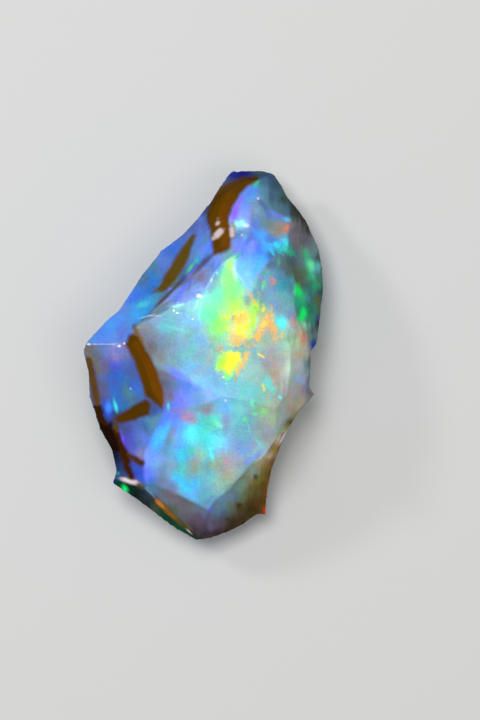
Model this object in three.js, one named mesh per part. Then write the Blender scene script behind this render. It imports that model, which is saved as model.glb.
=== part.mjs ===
// A rough chalk opal: one broken lump of natural opal, lying on its broad back with its bright
// fracture faces up. Millimetres, +Z up, +Y along the stone towards its narrow end. The origin is under
// the middle of the stone, on the surface it lies on.
//
// The stone is drawn as a cut stone is: named lines of corners (the outline and the ridges between its
// faces), and faces that fill the space between those lines. Each face is then bowed or hollowed a
// little, as opal breaks.

import * as THREE from "three";
import { mergeVertices } from "three/addons/utils/BufferGeometryUtils.js";

// ---- Driving dimensions ----

const LENGTH = 28.12; // along Y
const WIDTH = 18.24; // along X
const HEIGHT = 12.6; // along Z
const QUARTERINGS = 2; // times each triangle is cut in four before the faces are bowed
const RELAX_ROUNDS = 60; // smoothing passes over each face, with its edges held

// ---- Lines of corners, [x, y, z] ----

const LINES = {
  // the outline seen from above, clockwise from the upper left corner of the narrow end
  rim: [
    [1.4, 13.2, 5.2], [2.0, 14.0, 4.4], [4.5, 14.06, 3.9], [5.3, 13.85, 3.9], [6.0, 12.9, 4.1],
    [6.4, 12.0, 4.4], [7.2, 11.1, 4.2], [7.85, 10.15, 3.8], [8.3, 9.1, 4.0], [8.8, 8.1, 3.8],
    [9.05, 6.8, 4.1], [9.12, 5.0, 4.4], [8.9, 3.0, 4.9], [8.6, 0.8, 5.5], [8.12, 0.4, 5.8],
    [8.1, -1.2, 5.9], [8.0, -2.4, 5.6], [8.45, -2.95, 5.2], [7.2, -4.3, 5.3], [6.4, -5.6, 5.2],
    [5.8, -7.0, 4.8], [5.2, -8.6, 4.3], [4.85, -10.5, 3.6], [4.78, -12.2, 3.0], [4.1, -12.1, 3.1],
    [3.0, -12.9, 3.0], [1.8, -13.5, 3.0], [0.5, -13.95, 3.2], [-0.6, -14.06, 3.5], [-2.5, -13.0, 4.0],
    [-4.0, -11.8, 4.4], [-5.4, -10.75, 4.6], [-7.0, -9.65, 4.9], [-6.6, -8.8, 5.3], [-7.0, -7.1, 5.8],
    [-7.9, -5.6, 6.1], [-8.25, -4.4, 6.3], [-8.65, -3.2, 6.5], [-8.75, -1.2, 6.9], [-9.12, 0.3, 7.2],
    [-8.9, 0.95, 7.3], [-7.3, 2.75, 6.8], [-6.4, 3.45, 6.5], [-4.75, 6.05, 5.9], [-3.25, 7.95, 5.6],
    [-1.6, 9.15, 5.7], [-0.5, 10.35, 5.7], [0.5, 11.7, 5.6],
  ],
  // the underside that the stone lies on, in the same order round
  base: [
    [2.6, 10.6, 0], [5.6, 8.1, 0], [6.3, 4.4, 0], [6.6, -0.4, 0], [4.6, -5.0, 0], [2.6, -9.0, 0],
    [-1.2, -10.9, 0], [-4.9, -7.2, 0], [-6.0, -3.4, 0], [-6.4, 0.4, 0], [-3.0, 4.4, 0], [0.4, 8.2, 0],
  ],
  // the broken edge part way down the hidden sides, one corner above each corner of the base
  belly: [
    [3.9, 12.6, 2.0], [6.9, 9.4, 1.5], [8.2, 5.0, 2.6], [7.6, -0.9, 3.6], [6.5, -4.6, 2.9],
    [4.0, -11.0, 1.4], [-0.9, -12.7, 1.6], [-6.1, -8.9, 2.9], [-7.9, -3.6, 3.8], [-7.9, 0.8, 4.2],
    [-4.6, 5.2, 3.2], [-0.3, 10.0, 3.0],
  ],
  // upper left edge of the main face, from the stone's left shoulder to the narrow end
  brow: [
    [-5.2, 2.1, 10.1], [-3.4, 3.0, 10.8], [-2.2, 3.6, 11.2], [-1.5, 3.8, 11.3], [-0.25, 4.4, 11.5],
    [0.65, 5.6, 11.3], [1.4, 6.9, 10.9], [2.5, 7.55, 10.5],
  ],
  // foot of the step between the main block and the blue shelf beside it
  crease: [
    [-4.2, 3.0, 9.55], [-3.0, 4.0, 9.3], [-2.0, 5.0, 9.2], [-1.2, 5.7, 9.15], [-0.3, 6.3, 9.15],
    [0.8, 7.5, 9.3],
  ],
  // the two long sides of the brown seam facet on the left shoulder
  bandLeft: [
    [-5.8, 1.0, 9.4], [-5.3, -0.2, 9.55], [-4.8, -1.7, 9.5], [-4.5, -3.0, 9.3], [-4.1, -3.45, 9.4],
  ],
  bandRight: [
    [-4.6, 1.0, 10.3], [-4.1, 0.2, 10.5], [-3.6, -0.8, 10.6], [-3.3, -1.9, 10.5], [-3.0, -2.8, 10.3],
    [-2.8, -4.0, 10.0],
  ],
  // brown wedge below the seam, and the open crack that runs down from it
  wedge: [[-6.0, -4.1, 7.9], [-6.8, -4.8, 7.0], [-6.2, -5.15, 7.4], [-4.0, -4.7, 9.3]],
  crack: [[-6.35, -6.0, 6.7], [-5.9, -7.2, 6.5], [-5.55, -8.4, 6.3], [-5.3, -9.1, 6.2]],
  // left edge of the lower face
  lowerLeft: [[-4.4, -7.0, 8.1], [-4.6, -8.5, 7.1]],
  // bottom edge of the lower face, from its left corner to its lowest corner
  hem: [[-4.45, -9.65, 6.4], [-2.4, -10.1, 6.8], [-1.0, -10.95, 6.9], [0.4, -11.65, 6.7]],
  // right edge of the lower face, from its lowest corner up
  keel: [
    [0.9, -10.9, 7.1], [2.0, -10.0, 7.5], [3.0, -8.9, 7.9], [3.8, -8.0, 8.3], [4.7, -7.4, 8.3],
    [5.5, -6.2, 8.2], [6.3, -4.9, 7.5],
  ],
  // thin lip above the undercut at the lower left
  lip: [[-6.2, -9.3, 5.7], [-4.9, -9.75, 6.0], [-3.6, -10.6, 5.9], [-2.2, -12.0, 5.3], [-0.4, -13.8, 4.4]],
  // soft ridge between the main face and the lower face, left to right
  waist: [[-0.5, -3.8, 11.0], [1.5, -3.1, 11.9], [3.6, -3.4, 11.7], [5.4, -4.0, 10.5]],
  // shell-shaped break across the main face, top to bottom
  chip: [[-0.1, 4.0, 11.7], [-0.3, 2.6, 12.0], [0.4, 1.0, 12.35], [1.0, -1.0, 12.35]],
  // right edge of the main face, top to bottom
  shoulder: [
    [5.8, 7.6, 9.5], [6.7, 6.4, 9.2], [6.9, 5.5, 9.3], [6.8, 4.0, 9.6], [7.0, 3.0, 9.5],
    [7.5, 1.8, 8.7], [7.9, 0.9, 7.4],
  ],
  // soft turn of the main face towards the right, top to bottom
  bend: [[6.5, 1.4, 10.4], [6.5, -1.0, 10.2], [6.3, -2.9, 9.6]],
  // ridge round the foot of the blue facet, left to right
  sill: [[2.3, 6.4, 11.3], [2.9, 5.6, 11.6], [3.7, 4.8, 11.6], [4.3, 6.2, 10.9], [5.0, 7.15, 10.3]],
  // left and right edges of the blue facet, upwards
  blueLeft: [[3.0, 8.3, 10.0], [3.5, 9.4, 9.0]],
  blueRight: [[4.4, 8.0, 9.8], [3.9, 8.8, 9.3]],
  // corners of the small faces at the narrow end
  crown: [
    [3.45, 10.95, 7.8], [4.1, 11.8, 7.2], [5.2, 10.9, 7.2], [6.6, 10.35, 6.5], [6.4, 9.2, 7.9],
    [5.5, 8.9, 8.6], [4.3, 9.4, 8.7],
  ],
  notch: [[6.5, 8.0, 8.6]],
  // right edge of the brown patch at the narrow end, upwards, and its upper edge
  patchRight: [[2.0, 8.0, 10.0], [2.1, 8.7, 9.6], [1.9, 10.3, 8.5], [2.7, 12.1, 7.2], [4.15, 13.25, 6.0]],
  patchTop: [[3.0, 13.4, 5.9], [1.4, 12.3, 6.5]],
  patchLeft: [[0.35, 10.5, 7.1], [0.5, 8.7, 8.6]],
};

// ---- Faces: the lines round each one, as [line, first corner, last corner] ----
// A face's hollow is how far its middle sits below a flat fill: above 0 it is dished, below 0 it is bowed.

const TOP_FACES = {
  shelf: {
    hollow: 0.25,
    edge: [["bandLeft", 0, 0], ["rim", 40, 47], ["patchLeft", 0, 1], ["crease", 5, 0], ["brow", 0, 0]],
  },
  leftFace: { hollow: 0.2, edge: [["bandLeft", 3, 0], ["rim", 40, 35], ["wedge", 1, 0]] },
  seam: { hollow: 0.1, edge: [["brow", 0, 0], ["bandRight", 0, 5], ["bandLeft", 4, 0]] },
  wedge: { hollow: 0.05, edge: [["bandLeft", 3, 4], ["wedge", 3, 0]] },
  nook: { hollow: 0.02, edge: [["bandLeft", 4, 4], ["bandRight", 5, 5], ["wedge", 3, 3]] },
  blueSide: { hollow: 0.15, edge: [["wedge", 1, 3], ["lowerLeft", 0, 1], ["hem", 0, 0], ["crack", 3, 0]] },
  leftFlank: {
    hollow: -0.05,
    edge: [["rim", 35, 35], ["wedge", 1, 1], ["crack", 0, 3], ["lip", 0, 0], ["rim", 32, 34]],
  },
  lowTip: { hollow: 0, edge: [["crack", 3, 3], ["hem", 0, 0], ["lip", 1, 0]] },
  underFace: { hollow: 0.2, edge: [["hem", 0, 3], ["lip", 4, 1]] },
  undercut: { hollow: 0.1, edge: [["lip", 0, 4], ["rim", 28, 32]] },
  lowerFace: {
    hollow: 0.12,
    edge: [
      ["wedge", 3, 3], ["bandRight", 5, 5], ["waist", 0, 3], ["keel", 5, 0], ["hem", 3, 0],
      ["lowerLeft", 1, 0],
    ],
  },
  violetFace: { hollow: 0.05, edge: [["bandRight", 2, 2], ["waist", 1, 0], ["bandRight", 5, 2]] },
  mainLeft: { hollow: 0.1, edge: [["brow", 0, 4], ["chip", 0, 3], ["waist", 1, 1], ["bandRight", 2, 0]] },
  mainRight: {
    hollow: 0.06,
    edge: [
      ["chip", 3, 0], ["brow", 4, 7], ["sill", 0, 4], ["shoulder", 0, 4], ["bend", 0, 2],
      ["waist", 3, 1],
    ],
  },
  rightTurn: {
    hollow: -0.25,
    edge: [["shoulder", 4, 6], ["rim", 14, 18], ["keel", 6, 5], ["waist", 3, 3], ["bend", 2, 0]],
  },
  bevel: { hollow: 0.06, edge: [["brow", 0, 0], ["crease", 0, 5], ["patchRight", 0, 0], ["brow", 7, 1]] },
  blueFacet: {
    hollow: 0.08,
    edge: [["brow", 7, 7], ["blueLeft", 0, 1], ["blueRight", 1, 0], ["sill", 4, 0]],
  },
  upperRight: {
    hollow: 0.08,
    edge: [
      ["sill", 4, 4], ["blueRight", 0, 1], ["blueLeft", 1, 1], ["crown", 6, 4], ["notch", 0, 0],
      ["shoulder", 0, 0],
    ],
  },
  crownFace: { hollow: 0.05, edge: [["blueLeft", 1, 1], ["crown", 0, 6]] },
  crownRight: {
    hollow: 0.1,
    edge: [["crown", 1, 1], ["patchRight", 4, 4], ["rim", 3, 5], ["crown", 3, 2]],
  },
  darkSide: {
    hollow: 0.15,
    edge: [["crown", 3, 3], ["rim", 5, 14], ["shoulder", 6, 0], ["notch", 0, 0], ["crown", 4, 4]],
  },
  crownStrip: {
    hollow: 0.04,
    edge: [["patchRight", 0, 4], ["crown", 1, 0], ["blueLeft", 1, 0], ["brow", 7, 7]],
  },
  brownPatch: {
    hollow: 0.12,
    edge: [["crease", 5, 5], ["patchLeft", 1, 0], ["patchTop", 1, 0], ["patchRight", 4, 0]],
  },
  tipStrip: {
    hollow: 0.05,
    edge: [
      ["patchLeft", 0, 0], ["rim", 47, 47], ["rim", 0, 3], ["patchRight", 4, 4], ["patchTop", 0, 1],
    ],
  },
  amberFace: { hollow: 0.2, edge: [["hem", 3, 3], ["keel", 0, 6], ["rim", 18, 28], ["lip", 4, 4]] },
};

// The outline corner that each corner of the base and belly stands under.
const RIBS = [2, 7, 11, 15, 18, 23, 28, 32, 37, 40, 43, 46];
const UPPER_SIDE_HOLLOW = 0.25;
const LOWER_SIDE_HOLLOW = 0.12;

// ---- Corners of a face, in order ----

/** The numbers from first to last, counting up or down. */
function count(first, last) {
  const step = last < first ? -1 : 1;
  return Array.from({ length: Math.abs(last - first) + 1 }, (_, i) => first + i * step);
}

/** The corners along a list of [line, first, last] runs. */
function corners(edge) {
  return edge.flatMap(([line, first, last]) => count(first, last).map((i) => LINES[line][i]));
}

/** The outline from one corner number to another, going on past the last corner to the first. */
function rimRun(first, last) {
  const size = LINES.rim.length;
  const steps = (last - first + size) % size;
  return Array.from({ length: steps + 1 }, (_, i) => LINES.rim[(first + i) % size]);
}

// ---- Filling the faces with triangles ----

/** Triangles that fill a loop of corners, facing up, or down if asked. */
function fill(loop, facesDown = false) {
  const plan = loop.map(([x, y]) => new THREE.Vector2(x, y));
  return THREE.ShapeUtils.triangulateShape(plan, []).map(([a, b, c]) => {
    const clockwise = THREE.ShapeUtils.isClockWise([plan[a], plan[b], plan[c]]);
    return clockwise === facesDown ? [loop[a], loop[b], loop[c]] : [loop[a], loop[c], loop[b]];
  });
}

/** Triangles between an upper and a lower line of corners that both run clockwise seen from above. */
function strip(upper, lower) {
  const gap = (a, b) => Math.hypot(a[0] - b[0], a[1] - b[1], a[2] - b[2]);
  const triangles = [];
  let [u, l] = [0, 0];
  while (u < upper.length - 1 || l < lower.length - 1) {
    const upperNext = u < upper.length - 1 ? gap(upper[u + 1], lower[l]) : Infinity;
    const lowerNext = l < lower.length - 1 ? gap(upper[u], lower[l + 1]) : Infinity;
    if (upperNext < lowerNext) {
      triangles.push([upper[u], upper[u + 1], lower[l]]);
      u += 1;
    } else {
      triangles.push([upper[u], lower[l + 1], lower[l]]);
      l += 1;
    }
  }
  return triangles;
}

/** Every face of the stone as { triangles, hollow }. */
function allFaces() {
  const { base, belly } = LINES;
  const faces = Object.values(TOP_FACES).map(({ edge, hollow }) => (
    { triangles: fill(corners(edge)), hollow }
  ));
  RIBS.forEach((rib, i) => {
    const next = (i + 1) % RIBS.length;
    faces.push({
      triangles: strip(rimRun(rib, RIBS[next]), [belly[i], belly[next]]),
      hollow: UPPER_SIDE_HOLLOW,
    });
    faces.push({
      triangles: strip([belly[i], belly[next]], [base[i], base[next]]),
      hollow: LOWER_SIDE_HOLLOW,
    });
  });
  faces.push({ triangles: fill(base, true), hollow: 0 });
  return faces;
}

/** Points and triangles of the whole stone before its faces are bowed. */
function assemble() {
  const points = [];
  const numberOf = new Map();
  const number = (corner) => {
    const key = corner.join();
    if (!numberOf.has(key)) {
      numberOf.set(key, points.length);
      points.push(new THREE.Vector3(...corner));
    }
    return numberOf.get(key);
  };
  const triangles = allFaces().flatMap(({ triangles: rings, hollow }, face) => (
    rings.map((ring) => ({ corners: ring.map(number), face, hollow }))
  ));
  return { points, triangles };
}

// ---- Bowing the faces ----

/** Cuts every triangle in four at the middles of its sides. */
function quarter({ points, triangles }) {
  const middles = new Map();
  const middle = (a, b) => {
    const key = a < b ? `${a},${b}` : `${b},${a}`;
    if (!middles.has(key)) {
      middles.set(key, points.length);
      points.push(points[a].clone().lerp(points[b], 0.5));
    }
    return middles.get(key);
  };
  const quarters = triangles.flatMap(({ corners: [a, b, c], face, hollow }) => {
    const [ab, bc, ca] = [middle(a, b), middle(b, c), middle(c, a)];
    const parts = [[a, ab, ca], [ab, b, bc], [ca, bc, c], [ab, bc, ca]];
    return parts.map((ring) => ({ corners: ring, face, hollow }));
  });
  return { points, triangles: quarters };
}

/** Which faces, neighbours and hollow each point has. */
function surroundings({ points, triangles }) {
  const around = points.map(() => ({ faces: new Set(), neighbours: new Set(), hollow: 0 }));
  for (const { corners: ring, face, hollow } of triangles) {
    ring.forEach((point, i) => {
      around[point].faces.add(face);
      around[point].hollow = hollow;
      around[point].neighbours.add(ring[(i + 1) % 3]);
      around[point].neighbours.add(ring[(i + 2) % 3]);
    });
  }
  return around;
}

/** Smooths the inside of each face between its held edges, so it becomes one gently curved sheet. */
function relax(mesh) {
  const around = surroundings(mesh);
  const middle = new THREE.Vector3(0, 0, HEIGHT / 2);
  const hollowShare = 1 / (4 ** QUARTERINGS);
  const inside = mesh.points.keys().filter((i) => around[i].faces.size === 1).toArray();
  for (let round = 0; round < RELAX_ROUNDS; round += 1) {
    for (const i of inside) {
      const { neighbours, hollow } = around[i];
      const mean = new THREE.Vector3();
      neighbours.forEach((other) => mean.add(mesh.points[other]));
      mean.divideScalar(neighbours.size);
      const inward = middle.clone().sub(mean).normalize();
      mesh.points[i].copy(mean).addScaledVector(inward, hollow * hollowShare);
    }
  }
}

// ---- The finished solid ----

/** The stone's geometry at its driving size, standing on Z = 0. */
function stoneGeometry() {
  let mesh = assemble();
  for (let i = 0; i < QUARTERINGS; i += 1) {
    mesh = quarter(mesh);
  }
  relax(mesh);
  const cornerPoints = mesh.triangles.flatMap(({ corners: ring }) => ring.map((i) => mesh.points[i]));
  const positions = cornerPoints.flatMap((point) => point.toArray());
  const soup = new THREE.BufferGeometry();
  soup.setAttribute("position", new THREE.Float32BufferAttribute(positions, 3));
  const geometry = mergeVertices(soup, 1e-4);
  geometry.computeBoundingBox();
  const drawn = geometry.boundingBox.getSize(new THREE.Vector3());
  geometry.scale(WIDTH / drawn.x, LENGTH / drawn.y, HEIGHT / drawn.z);
  geometry.computeVertexNormals();
  return geometry;
}

const milkyOpal = new THREE.MeshStandardMaterial({ color: 0x86b8d2, roughness: 0.18, metalness: 0 });

const stone = new THREE.Mesh(stoneGeometry(), milkyOpal);
stone.name = "rough_opal";

const part = new THREE.Group();
part.name = "rough_chalk_opal";
part.add(stone);

export default part;
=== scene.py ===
"""Rough chalk opal: the finished look of one broken lump of opal, lying on its flat underside.

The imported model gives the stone's true shape, size and place. This script works the surface out of a merged
copy of it: chipped ridges and a fine break relief, the brown ironstone skin, the milky body and its play of
colour. Places and sizes on the stone are in millimetres, in the stone's own frame seen from above, and the
meshes are in metres.
"""

import logging
import math
from dataclasses import dataclass, field
from enum import Enum
from typing import Any, Sequence

import bpy
import numpy as np
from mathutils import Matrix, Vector, noise


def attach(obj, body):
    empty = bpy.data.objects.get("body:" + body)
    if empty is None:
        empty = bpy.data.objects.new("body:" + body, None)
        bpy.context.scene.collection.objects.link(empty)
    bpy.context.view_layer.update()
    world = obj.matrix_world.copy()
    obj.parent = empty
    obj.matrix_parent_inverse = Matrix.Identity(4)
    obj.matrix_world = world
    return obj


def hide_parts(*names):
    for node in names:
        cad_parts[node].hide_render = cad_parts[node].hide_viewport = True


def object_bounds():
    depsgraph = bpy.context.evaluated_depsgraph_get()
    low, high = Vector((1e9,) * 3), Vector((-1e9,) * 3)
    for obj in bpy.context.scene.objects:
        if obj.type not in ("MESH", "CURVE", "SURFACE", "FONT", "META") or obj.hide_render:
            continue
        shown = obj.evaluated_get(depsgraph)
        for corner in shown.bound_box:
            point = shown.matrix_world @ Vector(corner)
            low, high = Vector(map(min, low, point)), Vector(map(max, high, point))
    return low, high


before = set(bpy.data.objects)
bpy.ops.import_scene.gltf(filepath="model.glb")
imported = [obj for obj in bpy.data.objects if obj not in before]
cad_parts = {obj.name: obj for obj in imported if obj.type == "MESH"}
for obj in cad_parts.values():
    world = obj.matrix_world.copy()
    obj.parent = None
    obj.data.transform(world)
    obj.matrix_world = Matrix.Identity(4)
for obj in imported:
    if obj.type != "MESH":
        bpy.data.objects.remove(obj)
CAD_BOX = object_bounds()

MM = 0.001
NODE = "rough_opal"
log = logging.getLogger("rough_opal")

Socket = bpy.types.NodeSocket
Outline = tuple[tuple[float, float], ...]
Triple = tuple[float, float, float]
Colour = tuple[float, float, float, float]


# ------------------------------------------------------------------------------------------
# Colours
# ------------------------------------------------------------------------------------------


class Hue(Enum):
    """The stone's colours, as 0xRRGGBB screen colours."""

    INDIGO = 0x23239B
    NAVY = 0x3246C0
    COBALT = 0x3C6FD8
    OCEAN = 0x2D74BC
    DENIM = 0x55659F
    ROYAL = 0x4B78DC
    CORNFLOWER = 0x6889D7
    SKY = 0x559BE6
    AZURE = 0x50AFFF
    CERULEAN = 0x5FA8FA
    GLACIER = 0x72B0D8
    PALE_SKY = 0x8FC9F4
    ICE = 0x96B9F0
    FROST = 0x97B8DC
    HAZE = 0x80A6C1
    MIST = 0x87AEBB
    STEEL = 0x5F8CAA
    SLATE = 0x57758A
    DUSK = 0x687282
    SMOKE = 0x7F8390
    PEBBLE = 0xA2AAAD
    TEAL = 0x46A5B9
    SEA = 0x70B4BE
    SEAFOAM = 0x82D6D4
    TURQUOISE = 0x50DCDC
    CYAN = 0x46D2FA
    AQUA = 0x6EF5FF
    LAGOON = 0x64F0DC
    PALE_MINT = 0xA5FAE1
    MINT = 0x7DF0BE
    JADE = 0x41BE91
    EMERALD = 0x1EF582
    SPRING = 0x8CFF82
    LEAF = 0xAAFEA2
    PISTACHIO = 0xC8FE8A
    LIME = 0xC3FF55
    YELLOW = 0xFFF846
    GOLD = 0xFAE15A
    CORN = 0xF5E878
    APRICOT = 0xF5BE5F
    ORANGE = 0xE69137
    CELADON = 0x9BCCBD
    LICHEN = 0x93B4AA
    SAGE = 0xAAC3AD
    STRAW = 0xAAA08C
    PEACH = 0xD79B78
    SALMON = 0xDC8278
    ROSE = 0xC88CAA
    LILAC = 0x9993BF
    DOVE = 0xA9AEC1
    BLUSH = 0xBEA3B6
    VIOLET = 0x7878FF
    PERIWINKLE = 0x8CA5FF
    IRIS = 0x6181FD
    PURPLE = 0x9B5FFF
    GRAPE = 0x5F50C8
    MAUVE = 0x867D87
    PLUM = 0x55484F
    MAROON = 0x4B2D37
    KHAKI = 0x848C69
    OLIVE = 0x786E28
    BRACKEN = 0x5F4A11
    PEAT = 0x311C01
    MOSS = 0x465A46
    PINE = 0x125037
    NIGHT = 0x14121C
    HONEY = 0xAA731E
    AMBER = 0x8C500A
    EMBER = 0xC82D05
    TAN = 0x785A14
    BARK = 0x784B00
    CHESTNUT = 0x593A00
    WALNUT = 0x5C4220
    UMBER = 0x523402
    COCOA = 0x3C1C00
    SOOT = 0x1E0D06
    CHALK = 0xF0F5FA
    PEARL = 0xE1D2D7
    SHELL = 0xCDBCB8

    @property
    def linear(self) -> Triple:
        """The colour as linear red, green and blue."""
        shares = [(self.value >> shift & 255) / 255 for shift in (16, 8, 0)]
        return tuple(s / 12.92 if s <= 0.04045 else ((s + 0.055) / 1.055) ** 2.4 for s in shares)

    @property
    def rgba(self) -> Colour:
        """The colour as a shader socket's value."""
        return (*self.linear, 1.0)


@dataclass(frozen=True)
class Fray:
    """How a flash of colour ends at its rim.

    outer, inner: where it starts and where it is full, as shares of its half sizes. scale, detail,
    roughness: the noise that frays it. depth: how far the noise moves the rim. streaked: if the noise is
    drawn out into streaks.
    """

    outer: float
    inner: float
    scale: float
    detail: float
    roughness: float
    depth: float
    streaked: bool = False


class Grain(Enum):
    """The sorts of rim that a flash can have."""

    SOFT = Fray(1.6, 0.1, 1.3, 2.0, 0.5, 1.1)
    RAGGED = Fray(1.4, 0.4, 2.6, 3.0, 0.55, 1.9)
    FEATHERED = Fray(1.7, 0.2, 1.0, 4.0, 0.6, 2.4, streaked=True)
    CRUMBLED = Fray(1.8, 0.1, 3.6, 3.0, 0.65, 4.4)


@dataclass(frozen=True)
class Flash:
    """One patch of colour seen from above: play of colour in the stone, and also each pale bruise and painted
    highlight.

    x, y: its middle. long, wide: its half sizes along its own X and Y axes. turn: how many degrees its axes
    are turned anticlockwise, in steps of 15. strength: how much of its hue shows.
    """

    x: float
    y: float
    long: float
    wide: float
    turn: int
    hue: Hue
    strength: float
    grain: Grain


# How a tint's pull on the places near it falls off with distance: how far its middle is softened, in square
# millimetres, and the power of the squared distance.
TINT_SOFTENING = 0.12
TINT_POWER = -1.6


@dataclass(frozen=True)
class Facet:
    """One break face of the stone.

    outline: its rim. tints: for each hue of its body, the places that show it as (x, y, shade), where the
    shade darkens or lightens the hue. soft: how soft its rim is. lift: how much its colours are brightened,
    since a face that is turned away catches less light.
    """

    outline: Outline
    tints: dict[Hue, tuple[Triple, ...]]
    soft: float = 0.18
    lift: float = 1.0

    def colours_at(self, plan: np.ndarray) -> np.ndarray:
        """Draws the body colour from the tints near each place.

        Args:
            plan: the places, an (n, 2) array.

        Returns:
            The colours, an (n, 3) array.
        """
        spots = np.array([(x, y) for places in self.tints.values() for x, y, _ in places])
        shades = [(hue, shade) for hue, places in self.tints.items() for _, _, shade in places]
        hues = np.array([hue.linear for hue, _ in shades]) * [[shade * self.lift] for _, shade in shades]
        apart = ((plan[:, None, :] - spots[None]) ** 2).sum(axis=2)
        pull = (apart + TINT_SOFTENING) ** TINT_POWER
        return pull @ hues / pull.sum(axis=1, keepdims=True)


@dataclass(frozen=True)
class Skin:
    """A patch of ironstone skin.

    outline: its rim, or with a half width the line it follows. ruddy: how much brighter its right side is.
    """

    outline: Outline
    hue: Hue
    half_width: float = 0.0
    ruddy: float = 0.0

    def distance(self, plan: np.ndarray) -> np.ndarray:
        """Measures how far places lie from the patch.

        Args:
            plan: the places, an (n, 2) array.

        Returns:
            One distance for each place, below 0 on the patch.
        """
        if self.half_width:
            return line_distance(plan, self.outline) - self.half_width
        return outline_distance(plan, self.outline)


# ------------------------------------------------------------------------------------------
# What the stone shows
# ------------------------------------------------------------------------------------------

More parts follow.
